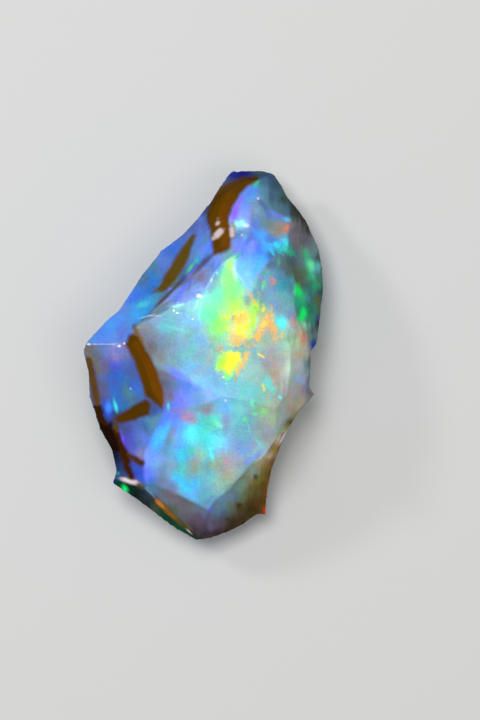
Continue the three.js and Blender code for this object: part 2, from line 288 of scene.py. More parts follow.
FACETS = {
    "shelf": Facet((
        (-9.2, 0.95), (-7.6, 3.1), (-6.4, 3.8), (-5.0, 5.8), (-3.1, 8.2), (-1.8, 9.3), (-0.8, 10.6),
        (0.3, 12.0), (0.5, 11.7), (0.35, 10.5), (0.5, 8.7), (0.8, 7.5), (-0.3, 6.3), (-2.0, 5.0),
        (-4.2, 3.0), (-5.2, 2.1), (-5.8, 1.0),
    ), {
        Hue.SKY: ((-6.6, 2.4, 0.95), (-1.5, 6.0, 0.45)),
        Hue.CORNFLOWER: ((-6.2, 1.6, 0.9), (-5.9, 3.4, 0.95), (-3.0, 7.0, 0.85), (-1.5, 8.9, 0.6),
            (-0.3, 8.9, 0.85), (-0.3, 10.3, 0.85)),
        Hue.AZURE: ((-5.0, 3.3, 0.75), (-3.7, 4.2, 0.6), (-0.4, 7.5, 0.7)),
        Hue.ROYAL: ((-5.0, 4.5, 0.95), (-2.3, 8.0, 0.8)),
        Hue.CYAN: ((-4.4, 3.8, 0.65),),
        Hue.OCEAN: ((-4.2, 4.8, 1.0), (-3.8, 5.6, 1.1)),
        Hue.STEEL: ((-4.6, 5.8, 0.7), (-3.8, 6.8, 0.8), (-2.6, 4.8, 0.8)),
        Hue.MAUVE: ((-3.0, 4.2, 0.5), (-0.9, 5.9, 0.7)),
        Hue.DUSK: ((-2.0, 5.3, 0.75),),
        Hue.DENIM: ((-0.8, 6.8, 0.95), (0.2, 7.1, 1.2), (-0.8, 9.8, 1.0), (0.1, 11.0, 0.5)),
        Hue.IRIS: ((0.0, 8.2, 0.95),),
    }),
    "left": Facet((
        (-9.4, 0.95), (-5.8, 1.0), (-5.3, -0.2), (-4.8, -1.7), (-4.5, -3.0), (-6.0, -4.1), (-6.8, -4.8),
        (-8.2, -5.9), (-9.2, -3.2), (-9.4, 0.3),
    ), {
        Hue.MAUVE: ((-8.5, 0.4, 0.7),),
        Hue.DUSK: ((-8.0, -0.2, 1.0),),
        Hue.CORNFLOWER: ((-7.5, 0.3, 0.9),),
        Hue.LILAC: ((-6.5, 0.3, 0.9), (-7.4, -1.0, 0.5), (-7.7, -2.2, 0.42), (-7.5, -3.0, 0.42)),
        Hue.IRIS: ((-6.7, -0.8, 0.55),),
        Hue.ROYAL: ((-6.9, -1.7, 0.75), (-5.0, -2.2, 0.8), (-7.2, -4.8, 0.4)),
        Hue.OCEAN: ((-6.1, -1.7, 1.0), (-6.6, -2.8, 1.0), (-6.4, -3.8, 1.15)),
        Hue.DENIM: ((-5.4, -1.3, 1.0), (-6.5, -4.4, 0.4)),
        Hue.STEEL: ((-5.8, -2.6, 0.75), (-5.4, -3.2, 0.7)),
        Hue.NAVY: ((-7.2, -4.0, 1.2),),
    }),
    "bevel": Facet((
        (-5.2, 2.1), (-4.2, 3.0), (-3.0, 4.0), (-2.0, 5.0), (-1.2, 5.7), (-0.3, 6.3), (0.8, 7.5),
        (2.0, 8.0), (2.5, 7.55), (1.4, 6.9), (0.65, 5.6), (-0.25, 4.4), (-1.5, 3.8), (-2.2, 3.6),
        (-3.4, 3.0),
    ), {
        Hue.HAZE: ((-4.2, 2.9, 0.7),),
        Hue.MIST: ((-3.2, 3.4, 0.7),),
        Hue.FROST: ((-2.4, 3.9, 0.8),),
        Hue.CORNFLOWER: ((-2.0, 4.4, 1.1), (0.6, 6.7, 0.85), (1.0, 6.9, 1.3)),
        Hue.ICE: ((-1.4, 4.3, 0.85), (-0.6, 4.9, 0.85), (0.3, 6.2, 0.7), (1.4, 7.3, 0.7)),
        Hue.DENIM: ((-1.3, 5.4, 1.25),),
        Hue.LILAC: ((-0.2, 6.0, 0.75),),
        Hue.SEA: ((1.9, 7.5, 0.8),),
    }, soft=0.14),
    "face": Facet((
        (-5.2, 2.1), (-3.4, 3.0), (-2.2, 3.6), (-1.5, 3.8), (-0.25, 4.4), (0.65, 5.6), (1.4, 6.9),
        (2.5, 7.55), (2.3, 6.4), (2.9, 5.6), (3.5, 4.7), (3.9, 6.0), (4.5, 6.7), (5.0, 7.15), (5.8, 7.6),
        (6.7, 6.4), (6.9, 5.5), (6.8, 4.0), (7.0, 3.0), (7.5, 1.8), (8.0, 0.9), (8.5, 0.1), (8.5, -2.6),
        (9.2, -3.0), (7.4, -4.5), (6.3, -4.9), (5.5, -6.2), (4.7, -7.4), (3.8, -8.0), (3.0, -8.9),
        (2.0, -10.0), (0.9, -10.9), (0.4, -11.65), (-1.0, -10.95), (-2.4, -10.1), (-4.45, -9.65),
        (-4.5, -8.5), (-4.4, -7.4), (-4.0, -6.5), (-3.5, -5.4), (-2.8, -4.0), (-0.5, -3.8), (1.5, -3.1),
        (-3.6, -0.8), (-4.1, 0.2), (-4.6, 1.0),
    ), {
        Hue.SMOKE: ((-4.7, 1.7, 1.0), (-3.7, 1.5, 1.05), (-3.2, 0.1, 1.0), (8.1, -0.6, 0.9),
            (8.2, -1.9, 0.8), (-3.0, -9.5, 1.05)),
        Hue.FROST: ((-3.5, 2.6, 0.8), (-3.0, 0.9, 0.6), (0.3, 5.1, 0.95), (5.5, 3.6, 0.8), (6.6, 3.2, 0.6),
            (-3.1, -9.0, 0.8), (-2.2, -5.9, 0.95), (-2.4, -8.2, 0.85), (-2.3, -9.8, 0.7), (1.8, -5.0, 1.0)),
        Hue.MAUVE: ((-4.0, 0.6, 0.75), (7.4, -2.7, 1.6), (8.1, -2.8, 0.8)),
        Hue.SEA: ((-2.7, 2.2, 1.1), (-0.8, 0.4, 1.1), (2.6, 0.6, 1.05), (3.4, 1.0, 1.1), (3.0, 0.1, 1.05),
            (6.6, 4.1, 0.75), (0.3, -8.4, 1.0), (0.5, -9.6, 1.15), (0.2, -10.3, 0.9), (2.5, -4.8, 1.2)),
        Hue.MIST: ((-2.2, -0.3, 0.85), (-0.9, 1.5, 1.0), (2.5, -8.5, 1.05), (4.3, -7.0, 1.25)),
        Hue.PALE_SKY: ((-1.2, 2.4, 0.85), (-0.4, 2.4, 0.85), (-0.4, 1.2, 0.75), (-1.3, -0.9, 0.8),
            (0.6, -1.5, 0.8), (1.5, -2.4, 0.8)),
        Hue.HAZE: ((0.2, 0.6, 1.15), (0.8, 5.9, 0.95), (0.7, 5.0, 1.0), (4.9, 5.0, 1.15), (4.6, 6.1, 1.15),
            (4.4, 4.3, 1.0), (-2.6, -6.2, 0.95), (3.3, -8.2, 1.0)),
        Hue.DOVE: ((0.6, -0.4, 0.9), (7.6, -1.7, 1.25), (2.6, -7.8, 1.05), (0.2, -4.2, 0.9)),
        Hue.GLACIER: ((1.1, 6.5, 1.0), (3.9, 4.7, 1.0), (1.6, -3.7, 1.3), (-2.9, -7.2, 0.9),
            (-0.7, -10.4, 1.05)),
        Hue.LEAF: ((1.9, 6.5, 1.0), (1.9, 5.4, 1.0), (1.4, 3.7, 1.0), (0.9, 2.0, 0.9), (1.6, 2.0, 0.8)),
        Hue.MINT: ((1.0, 4.5, 1.05), (2.7, 4.9, 0.85), (0.2, 3.2, 1.0), (0.9, 3.0, 0.95)),
        Hue.PALE_MINT: ((0.4, 4.0, 0.9), (1.7, 1.2, 0.75)),
        Hue.PISTACHIO: ((2.3, 3.9, 1.0), (1.7, 3.0, 0.95), (2.6, 3.5, 1.0), (3.6, 3.2, 0.85),
            (4.0, 3.3, 0.6)),
        Hue.SAGE: ((3.0, 4.5, 1.25), (3.3, 3.9, 1.0), (3.0, 2.6, 1.4), (2.4, 1.4, 1.25), (3.1, 1.7, 1.3),
            (3.8, 2.4, 1.3), (0.9, 1.3, 0.95), (6.5, -0.9, 1.25), (7.0, 1.0, 1.3), (6.5, 1.3, 0.75),
            (-0.9, -8.2, 0.85), (1.0, -8.1, 0.85), (4.7, -4.5, 0.95)),
        Hue.LICHEN: ((0.3, 2.3, 1.2), (4.7, 1.4, 1.05), (1.3, -9.7, 1.05)),
        Hue.STRAW: ((4.2, 1.6, 1.4), (5.1, 2.2, 1.3), (6.5, 2.5, 1.2), (5.3, -1.3, 1.15), (7.3, 0.1, 1.45),
            (7.4, 1.4, 1.6), (7.0, -3.3, 1.3), (6.8, -4.3, 1.1), (1.9, -8.9, 1.15)),
        Hue.AQUA: ((5.9, 2.5, 0.75), (0.0, -7.0, 0.75), (0.6, -6.4, 0.8), (-0.9, -5.8, 0.9),
            (-0.4, -4.9, 0.8)),
        Hue.CORN: ((2.0, -0.5, 0.8),),
        Hue.SEAFOAM: ((1.0, -0.5, 1.0), (2.0, -1.9, 0.9), (-1.6, -8.5, 0.7), (3.6, -2.7, 0.9)),
        Hue.CELADON: ((4.3, -1.5, 0.95), (-0.4, -7.2, 0.85)),
        Hue.PEBBLE: ((5.0, -0.4, 1.0), (7.3, -0.9, 1.35), (4.7, -6.3, 1.0), (6.1, -4.5, 1.1),
            (6.8, -2.5, 1.2)),
        Hue.TEAL: ((5.7, 5.2, 1.1), (6.2, 5.4, 0.75)),
        Hue.STEEL: ((5.6, 6.0, 1.1), (0.5, -11.1, 1.2)),
        Hue.DUSK: ((5.9, 6.6, 0.9),),
        Hue.SLATE: ((5.1, 6.6, 1.2),),
        Hue.MOSS: ((6.4, 6.2, 1.3),),
        Hue.LILAC: ((-1.9, -4.1, 0.95), (-1.1, -4.6, 1.0)),
        Hue.AZURE: ((-3.2, -5.7, 1.2), (-3.6, -6.4, 1.1)),
        Hue.CORNFLOWER: ((-2.1, -4.6, 1.25),),
        Hue.IRIS: ((-2.7, -4.5, 0.95), (-4.2, -8.8, 1.0)),
        Hue.ROYAL: ((-3.3, -4.9, 1.1),),
        Hue.PERIWINKLE: ((-4.1, -7.6, 0.95),),
        Hue.SKY: ((-3.9, -9.4, 0.75),),
        Hue.ICE: ((-3.3, -7.9, 0.9), (1.2, -6.7, 1.1), (3.1, -7.0, 0.9)),
        Hue.CERULEAN: ((-1.7, -5.5, 1.15), (-1.7, -6.4, 1.3)),
        Hue.CYAN: ((-1.5, -7.5, 0.85), (-1.9, -9.2, 0.9), (-1.0, -9.9, 0.85)),
        Hue.LAGOON: ((0.0, -5.9, 0.95), (0.8, -5.2, 0.95)),
        Hue.TURQUOISE: ((-1.0, -7.1, 0.75),),
        Hue.BLUSH: ((1.8, -8.0, 0.95),),
    }),
    "violet": Facet((
        (-3.6, -0.8), (1.5, -3.1), (-0.5, -3.8), (-2.8, -4.0), (-3.0, -2.8), (-3.3, -1.9),
    ), {
        Hue.LILAC: ((-2.2, -1.5, 0.65),),
        Hue.IRIS: ((-1.6, -1.4, 1.3),),
        Hue.SMOKE: ((-2.8, -2.0, 0.6),),
        Hue.STEEL: ((-2.1, -2.2, 1.0),),
        Hue.SKY: ((-1.2, -2.1, 0.9),),
        Hue.PERIWINKLE: ((-0.4, -2.3, 0.85), (-1.2, -3.0, 0.85)),
        Hue.ICE: ((0.4, -2.8, 1.0),),
        Hue.MAUVE: ((-2.6, -3.0, 0.75), (-3.1, -1.4, 0.8)),
        Hue.VIOLET: ((-1.9, -3.3, 1.1),),
        Hue.PALE_SKY: ((-0.4, -3.0, 0.65),),
        Hue.CORNFLOWER: ((-2.5, -3.7, 1.0),),
    }, soft=0.35),
    "nook": Facet((
        (-4.1, -3.45), (-2.8, -4.0), (-4.0, -4.7),
    ), {
        Hue.DENIM: ((-3.6, -4.0, 0.8),),
        Hue.ROYAL: ((-3.2, -4.2, 0.6),),
    }),
    "blue_side": Facet((
        (-6.8, -4.8), (-6.2, -5.15), (-4.0, -4.7), (-2.8, -4.0), (-3.5, -5.4), (-4.0, -6.5), (-4.4, -7.4),
        (-4.5, -8.5), (-4.45, -9.65), (-5.3, -9.1), (-5.9, -7.2), (-6.35, -6.0),
    ), {
        Hue.DENIM: ((-6.0, -5.5, 0.75),),
        Hue.SKY: ((-4.2, -5.3, 0.45),),
        Hue.STEEL: ((-3.8, -5.2, 1.0),),
        Hue.GRAPE: ((-5.9, -6.3, 0.9), (-5.6, -7.0, 0.85), (-5.4, -8.1, 0.5)),
        Hue.CORNFLOWER: ((-4.2, -6.2, 0.9), (-5.0, -6.9, 0.7)),
        Hue.LILAC: ((-4.7, -7.4, 0.85),),
        Hue.COBALT: ((-4.9, -8.5, 0.7),),
        Hue.NAVY: ((-5.1, -9.0, 1.0),),
        Hue.ROYAL: ((-4.6, -9.1, 0.75),),
    }, soft=0.35, lift=1.1),
    # painted shade: this steep flank's tints are darkened to near black
    "left_flank": Facet((
        (-8.2, -5.7), (-6.8, -4.8), (-6.35, -6.0), (-5.9, -7.2), (-5.55, -8.4), (-5.3, -9.1), (-6.2, -9.3),
        (-7.4, -9.8), (-6.9, -8.8), (-7.3, -7.1),
    ), {
        Hue.NIGHT: ((-7.0, -7.0, 0.7), (-6.8, -8.0, 1.0)),
        Hue.ROYAL: ((-6.3, -8.4, 0.3),),
        Hue.DENIM: ((-5.9, -8.9, 0.65),),
        Hue.OCEAN: ((-6.6, -9.1, 0.35),),
        Hue.INDIGO: ((-7.1, -9.5, 0.4),),
        Hue.SOOT: ((-7.2, -6.0, 1.0),),
    }),
    "low_tip": Facet((
        (-5.3, -9.1), (-4.45, -9.65), (-4.9, -9.75), (-6.2, -9.3),
    ), {
        Hue.MAUVE: ((-5.2, -9.4, 0.6),),
    }),
    "under_face": Facet((
        (-4.45, -9.65), (-2.4, -10.1), (-1.0, -10.95), (0.4, -11.65), (-0.4, -13.8), (-2.2, -12.0),
        (-3.6, -10.6), (-4.9, -9.75),
    ), {
        Hue.STEEL: ((-4.0, -10.0, 0.9),),
        Hue.SMOKE: ((-2.9, -10.5, 0.85), (-2.2, -10.8, 0.85)),
        Hue.MAUVE: ((-1.6, -11.1, 0.8),),
        Hue.DUSK: ((-0.3, -11.6, 1.2),),
        Hue.MOSS: ((-2.3, -11.4, 1.3),),
        Hue.PLUM: ((-0.3, -12.4, 1.6), (-0.5, -13.1, 0.7)),
        Hue.LILAC: ((0.1, -12.2, 0.5),),
    }, soft=0.3),
    # partly painted shade: the dark green and black tints under the overhanging lip
    "undercut": Facet((
        (-6.2, -9.3), (-4.9, -9.75), (-3.6, -10.6), (-2.2, -12.0), (-0.4, -13.8), (-0.6, -14.5),
        (-2.7, -13.4), (-4.2, -12.1), (-5.6, -11.1), (-7.4, -9.8),
    ), {
        Hue.PINE: ((-5.6, -10.2, 0.5), (-3.0, -12.2, 0.8), (-1.4, -13.2, 1.0), (-6.3, -9.8, 0.8)),
        Hue.NIGHT: ((-5.0, -10.6, 1.5),),
        Hue.SLATE: ((-4.3, -10.7, 0.35),),
        Hue.PLUM: ((-4.3, -11.3, 0.3),),
        Hue.MOSS: ((-3.5, -11.5, 1.0), (-0.7, -13.5, 0.6)),
    }),
    "amber": Facet((
        (0.4, -11.65), (0.9, -10.9), (2.0, -10.0), (3.0, -8.9), (3.8, -8.0), (4.7, -7.4), (5.5, -6.2),
        (6.3, -4.9), (7.4, -4.5), (6.6, -6.0), (6.2, -7.2), (5.5, -8.7), (5.3, -10.5), (5.2, -12.6),
        (3.2, -13.3), (1.9, -13.9), (0.5, -14.4), (-0.8, -14.5), (-0.4, -13.8),
    ), {
        Hue.SLATE: ((0.9, -11.5, 1.05), (1.4, -11.0, 1.1), (1.9, -10.6, 1.1)),
        Hue.LICHEN: ((2.5, -10.1, 0.46), (3.0, -9.6, 0.46), (3.9, -8.6, 0.58)),
        Hue.STRAW: ((4.5, -8.0, 0.85), (5.0, -7.4, 1.05), (5.8, -6.2, 1.3)),
        Hue.OLIVE: ((5.4, -6.9, 1.35), (3.5, -10.2, 0.56), (4.0, -9.5, 0.9), (4.5, -9.0, 0.9),
            (4.9, -8.2, 1.0)),
        Hue.KHAKI: ((6.2, -5.6, 1.5), (2.1, -11.3, 0.4), (2.8, -10.7, 0.4)),
        Hue.BRACKEN: ((6.6, -5.0, 0.8), (6.2, -6.2, 0.5), (2.8, -11.7, 0.5), (3.5, -11.1, 0.56),
            (2.2, -12.9, 0.3), (1.0, -13.5, 0.16), (1.8, -13.4, 0.16)),
        Hue.DUSK: ((1.4, -11.8, 0.55),),
        Hue.TAN: ((5.3, -7.8, 0.7), (4.6, -9.7, 0.4), (3.0, -12.4, 0.2), (3.8, -11.8, 0.2),
            (4.4, -11.0, 0.24)),
        Hue.BARK: ((5.8, -7.0, 0.3), (5.0, -9.0, 0.3), (5.4, -8.2, 0.2), (4.7, -10.4, 0.22)),
        Hue.LILAC: ((0.6, -12.8, 0.32),),
        Hue.PLUM: ((1.3, -12.8, 0.8), (0.2, -13.5, 0.5)),
    }, soft=0.35, lift=1.75),
    # The right side's dark tints are partly the stone's own grey-brown and partly painted shade.
    "dark_side": Facet((
        (6.6, 10.35), (6.4, 9.2), (6.5, 8.0), (5.8, 7.6), (6.7, 6.4), (6.9, 5.5), (6.8, 4.0), (7.0, 3.0),
        (7.5, 1.8), (8.0, 0.9), (8.5, 0.1), (9.0, 1.5), (9.4, 3.0), (9.6, 5.2), (9.4, 6.9), (9.0, 8.5),
        (8.4, 9.3), (8.0, 10.4), (7.2, 11.3), (6.5, 12.2),
    ), {
        Hue.PEBBLE: ((6.7, 9.8, 0.55),),
        Hue.MAUVE: ((7.2, 9.4, 0.6), (6.9, 8.9, 0.85), (7.5, 8.6, 0.45)),
        Hue.MOSS: ((7.8, 9.6, 0.3), (8.9, 5.6, 0.9), (6.7, 11.3, 0.3), (7.1, 10.8, 0.35)),
        Hue.CELADON: ((7.6, 7.8, 0.38), (7.6, 2.2, 0.85)),
        Hue.MIST: ((8.3, 7.8, 0.43),),
        Hue.PLUM: ((8.8, 7.4, 0.5), (7.4, 10.4, 0.35)),
        Hue.SLATE: ((6.7, 7.3, 0.7),),
        Hue.DUSK: ((7.3, 7.0, 0.8), (7.7, 5.3, 0.6), (8.2, 1.9, 0.6)),
        Hue.JADE: ((8.0, 6.9, 0.9), (8.2, 6.0, 0.75), (8.4, 5.0, 0.42), (7.2, 4.6, 0.8), (7.2, 3.9, 0.75),
            (7.8, 3.6, 0.3), (8.0, 2.7, 0.4)),
        Hue.SEA: ((8.6, 6.6, 0.75), (7.9, 4.4, 0.3)),
        Hue.NIGHT: ((9.0, 6.4, 1.0), (8.7, 2.5, 1.6)),
        Hue.KHAKI: ((7.0, 6.2, 0.48), (7.6, 6.1, 0.42), (7.1, 5.5, 0.48), (8.6, 4.1, 0.38)),
        Hue.DENIM: ((9.0, 4.8, 0.2), (8.4, 1.0, 0.25)),
        Hue.LICHEN: ((7.9, 1.3, 0.55),),
        Hue.PEAT: ((7.8, 10.1, 0.3),),
    }, soft=0.3, lift=1.5),
    "crown": Facet((
        (3.5, 9.4), (3.45, 10.95), (4.1, 11.8), (5.2, 10.9), (6.6, 10.35), (6.4, 9.2), (5.5, 8.9),
        (4.3, 9.4),
    ), {
        Hue.FROST: ((3.9, 10.8, 0.7),),
        Hue.MIST: ((4.4, 10.4, 0.7),),
        Hue.CORNFLOWER: ((4.0, 9.8, 1.0), (4.8, 10.6, 0.7)),
        Hue.LICHEN: ((4.9, 9.9, 0.6),),
        Hue.STEEL: ((5.4, 10.3, 1.1),),
        Hue.STRAW: ((5.4, 9.5, 0.85), (6.2, 9.5, 0.9)),
    }, soft=0.25),
    "crown_right": Facet((
        (4.1, 11.8), (4.15, 13.25), (5.3, 14.2), (6.3, 13.0), (6.6, 12.0), (6.6, 10.35), (5.2, 10.9),
    ), {
        Hue.STEEL: ((4.4, 12.2, 1.05), (4.5, 13.0, 0.65), (4.9, 11.6, 0.85)),
        Hue.SLATE: ((5.4, 12.0, 0.65), (5.5, 11.2, 1.0), (6.1, 10.9, 0.85), (5.3, 12.8, 0.45)),
        Hue.MOSS: ((6.0, 11.8, 0.55),),
        Hue.DENIM: ((4.9, 13.6, 0.55),),
    }, soft=0.25, lift=1.25),
    "upper_right": Facet((
        (5.0, 7.15), (4.4, 8.0), (3.9, 8.8), (3.5, 9.4), (4.3, 9.4), (5.5, 8.9), (6.4, 9.2), (6.5, 8.0),
        (5.8, 7.6),
    ), {
        Hue.CERULEAN: ((4.3, 9.2, 0.9),),
        Hue.CORNFLOWER: ((4.9, 8.8, 0.8), (5.3, 8.6, 0.8)),
        Hue.AZURE: ((4.9, 8.1, 1.05),),
        Hue.TURQUOISE: ((5.6, 8.0, 0.55),),
        Hue.CYAN: ((6.1, 8.5, 0.75),),
        Hue.FROST: ((5.9, 9.0, 0.7),),
        Hue.SLATE: ((5.3, 7.5, 0.85),),
    }, soft=0.25),
    "blue": Facet((
        (2.5, 7.55), (3.0, 8.3), (3.5, 9.4), (3.9, 8.8), (4.4, 8.0), (5.0, 7.15), (4.5, 6.7), (3.9, 6.0),
        (3.5, 4.7), (2.9, 5.6), (2.3, 6.4),
    ), {
        Hue.PALE_SKY: ((3.6, 5.4, 1.0), (3.0, 6.0, 1.05)),
        Hue.AZURE: ((4.2, 6.4, 1.2), (4.6, 7.0, 0.9)),
        Hue.CERULEAN: ((3.2, 6.9, 1.35),),
        Hue.ICE: ((2.6, 6.9, 1.05),),
        Hue.IRIS: ((3.4, 7.6, 1.35), (4.0, 8.4, 0.7)),
        Hue.PERIWINKLE: ((2.9, 7.7, 0.75),),
        Hue.ROYAL: ((4.3, 7.7, 1.2),),
        Hue.CORNFLOWER: ((3.7, 9.0, 0.85),),
    }, soft=0.25),
    "crown_strip": Facet((
        (2.0, 8.0), (2.1, 8.7), (1.9, 10.3), (2.7, 12.1), (4.15, 13.25), (4.1, 11.8), (3.45, 10.95),
        (3.5, 9.4), (3.0, 8.3), (2.5, 7.55),
    ), {
        Hue.GLACIER: ((3.2, 8.8, 1.0),),
        Hue.IRIS: ((2.8, 8.4, 1.3),),
        Hue.LILAC: ((2.4, 8.2, 0.75), (2.6, 11.5, 0.6)),
        Hue.STEEL: ((2.6, 9.0, 1.0),),
        Hue.MIST: ((2.4, 9.8, 1.3),),
        Hue.FROST: ((2.9, 10.1, 1.0), (3.7, 11.5, 0.65)),
        Hue.PERIWINKLE: ((3.3, 10.4, 0.95),),
        Hue.VIOLET: ((2.4, 10.6, 1.15),),
        Hue.CORNFLOWER: ((2.9, 11.0, 1.3),),
        Hue.CERULEAN: ((3.2, 11.7, 0.9),),
        Hue.SKY: ((3.7, 12.4, 0.95),),
        Hue.LAGOON: ((4.0, 13.1, 0.35),),
    }, soft=0.25),
    "tip": Facet((
        (0.35, 10.5), (0.5, 11.7), (1.1, 13.3), (1.7, 14.4), (4.5, 14.4), (5.3, 14.1), (4.15, 13.25),
        (3.0, 13.4), (1.4, 12.3),
    ), {
        Hue.DENIM: ((0.7, 12.3, 0.5),),
        Hue.STEEL: ((1.5, 13.2, 0.5),),
        Hue.INDIGO: ((1.9, 13.7, 0.8), (3.0, 13.9, 0.7)),
        Hue.SLATE: ((4.6, 13.8, 0.6),),
    }),
}

SKINS = (
    Skin(((-5.6, 1.5), (-5.25, 1.6), (-4.85, 1.45), (-4.4, 0.6), (-3.9, -0.2), (-3.55, -1.0), (-3.25, -1.9),
          (-2.95, -2.8), (-2.9, -3.6), (-3.1, -3.95), (-3.7, -3.5), (-4.3, -3.1), (-4.7, -1.8),
          (-5.15, -0.5), (-5.8, 0.8)), Hue.CHESTNUT, ruddy=0.95),
    Skin(((-5.15, 2.2), (-5.0, 1.7), (-4.6, 1.1)), Hue.TAN, 0.12),
    Skin(((-6.8, -4.8), (-6.3, -4.4), (-5.4, -3.85), (-4.3, -3.25), (-3.95, -3.6), (-4.05, -4.4),
          (-5.1, -4.85), (-6.3, -5.1)), Hue.UMBER),
    Skin(((-6.6, -5.2), (-6.55, -6.0)), Hue.WALNUT, 0.2),
    Skin(((-6.6, -5.7), (-6.5, -6.2), (-6.3, -6.8), (-6.05, -7.5), (-5.8, -8.4), (-5.4, -9.15)), Hue.COCOA,
          0.22),
    Skin(((-6.4, -6.6), (-6.0, -7.3), (-5.8, -7.9)), Hue.COCOA, 0.3),
    Skin(((-5.8, -7.45), (-5.2, -7.78), (-4.65, -8.1)), Hue.UMBER, 0.21),
    Skin(((-8.6, -0.4), (-8.4, -1.5), (-8.2, -2.6), (-8.0, -3.7)), Hue.WALNUT, 0.28),
    Skin(((-8.0, -3.9), (-7.8, -4.6), (-7.5, -5.3)), Hue.PEAT, 0.34),
    Skin(((-7.6, -5.2), (-7.2, -5.9), (-6.7, -6.4), (-6.5, -6.9)), Hue.SOOT, 0.35),
    Skin(((-8.6, 0.3), (-8.2, -0.5), (-7.75, -1.4)), Hue.OLIVE, 0.06),
    Skin(((4.0, 13.55), (3.0, 13.5), (2.0, 13.15), (1.2, 12.6), (0.6, 11.6), (0.25, 10.6), (0.3, 9.9),
          (0.55, 9.3), (0.6, 8.7), (0.7, 8.0), (0.75, 7.55), (1.5, 7.65), (2.0, 8.0), (2.1, 8.7),
          (1.95, 9.4), (1.9, 10.3), (2.2, 11.2), (2.7, 12.1), (3.3, 12.7), (4.2, 13.3)), Hue.CHESTNUT,
          ruddy=0.55),
    Skin(((-3.9, 4.7), (-3.3, 5.2), (-2.9, 6.0), (-2.2, 7.2), (-1.5, 8.3), (-0.8, 9.2), (-0.55, 9.0),
          (-0.95, 8.0), (-1.1, 7.4), (-1.6, 6.4), (-2.2, 5.5), (-2.9, 4.8)), Hue.BRACKEN),
    Skin(((-4.9, -9.8), (-4.5, -9.85)), Hue.BRACKEN, 0.1),
    Skin(((3.9, -9.1), (3.9, -9.2)), Hue.UMBER, 0.1),
    Skin(((2.6, -11.35), (2.75, -11.3)), Hue.UMBER, 0.13),
    Skin(((1.8, -12.4), (1.9, -12.45)), Hue.UMBER, 0.08),
)

# Painted highlights on the wet skin: pale pearl-coloured spots, each given as the line that it follows and
# its half width. The second constant says between which distances their rims fade out.
SKIN_GLINTS = (
    (((1.05, 9.85), (1.1, 9.95)), 0.15),
    (((1.0, 9.0), (1.3, 9.3)), 0.25),
    (((0.7, 8.75), (0.9, 8.85)), 0.15),
    (((1.05, 10.25), (1.1, 10.3)), 0.02),
    (((1.55, 9.45), (1.6, 9.5)), 0.02),
    (((2.2, 9.0), (2.15, 9.45)), 0.22),
    (((2.15, 9.65), (2.05, 9.85)), 0.08),
)
SKIN_GLINT_RIM = (-0.15, 0.08)

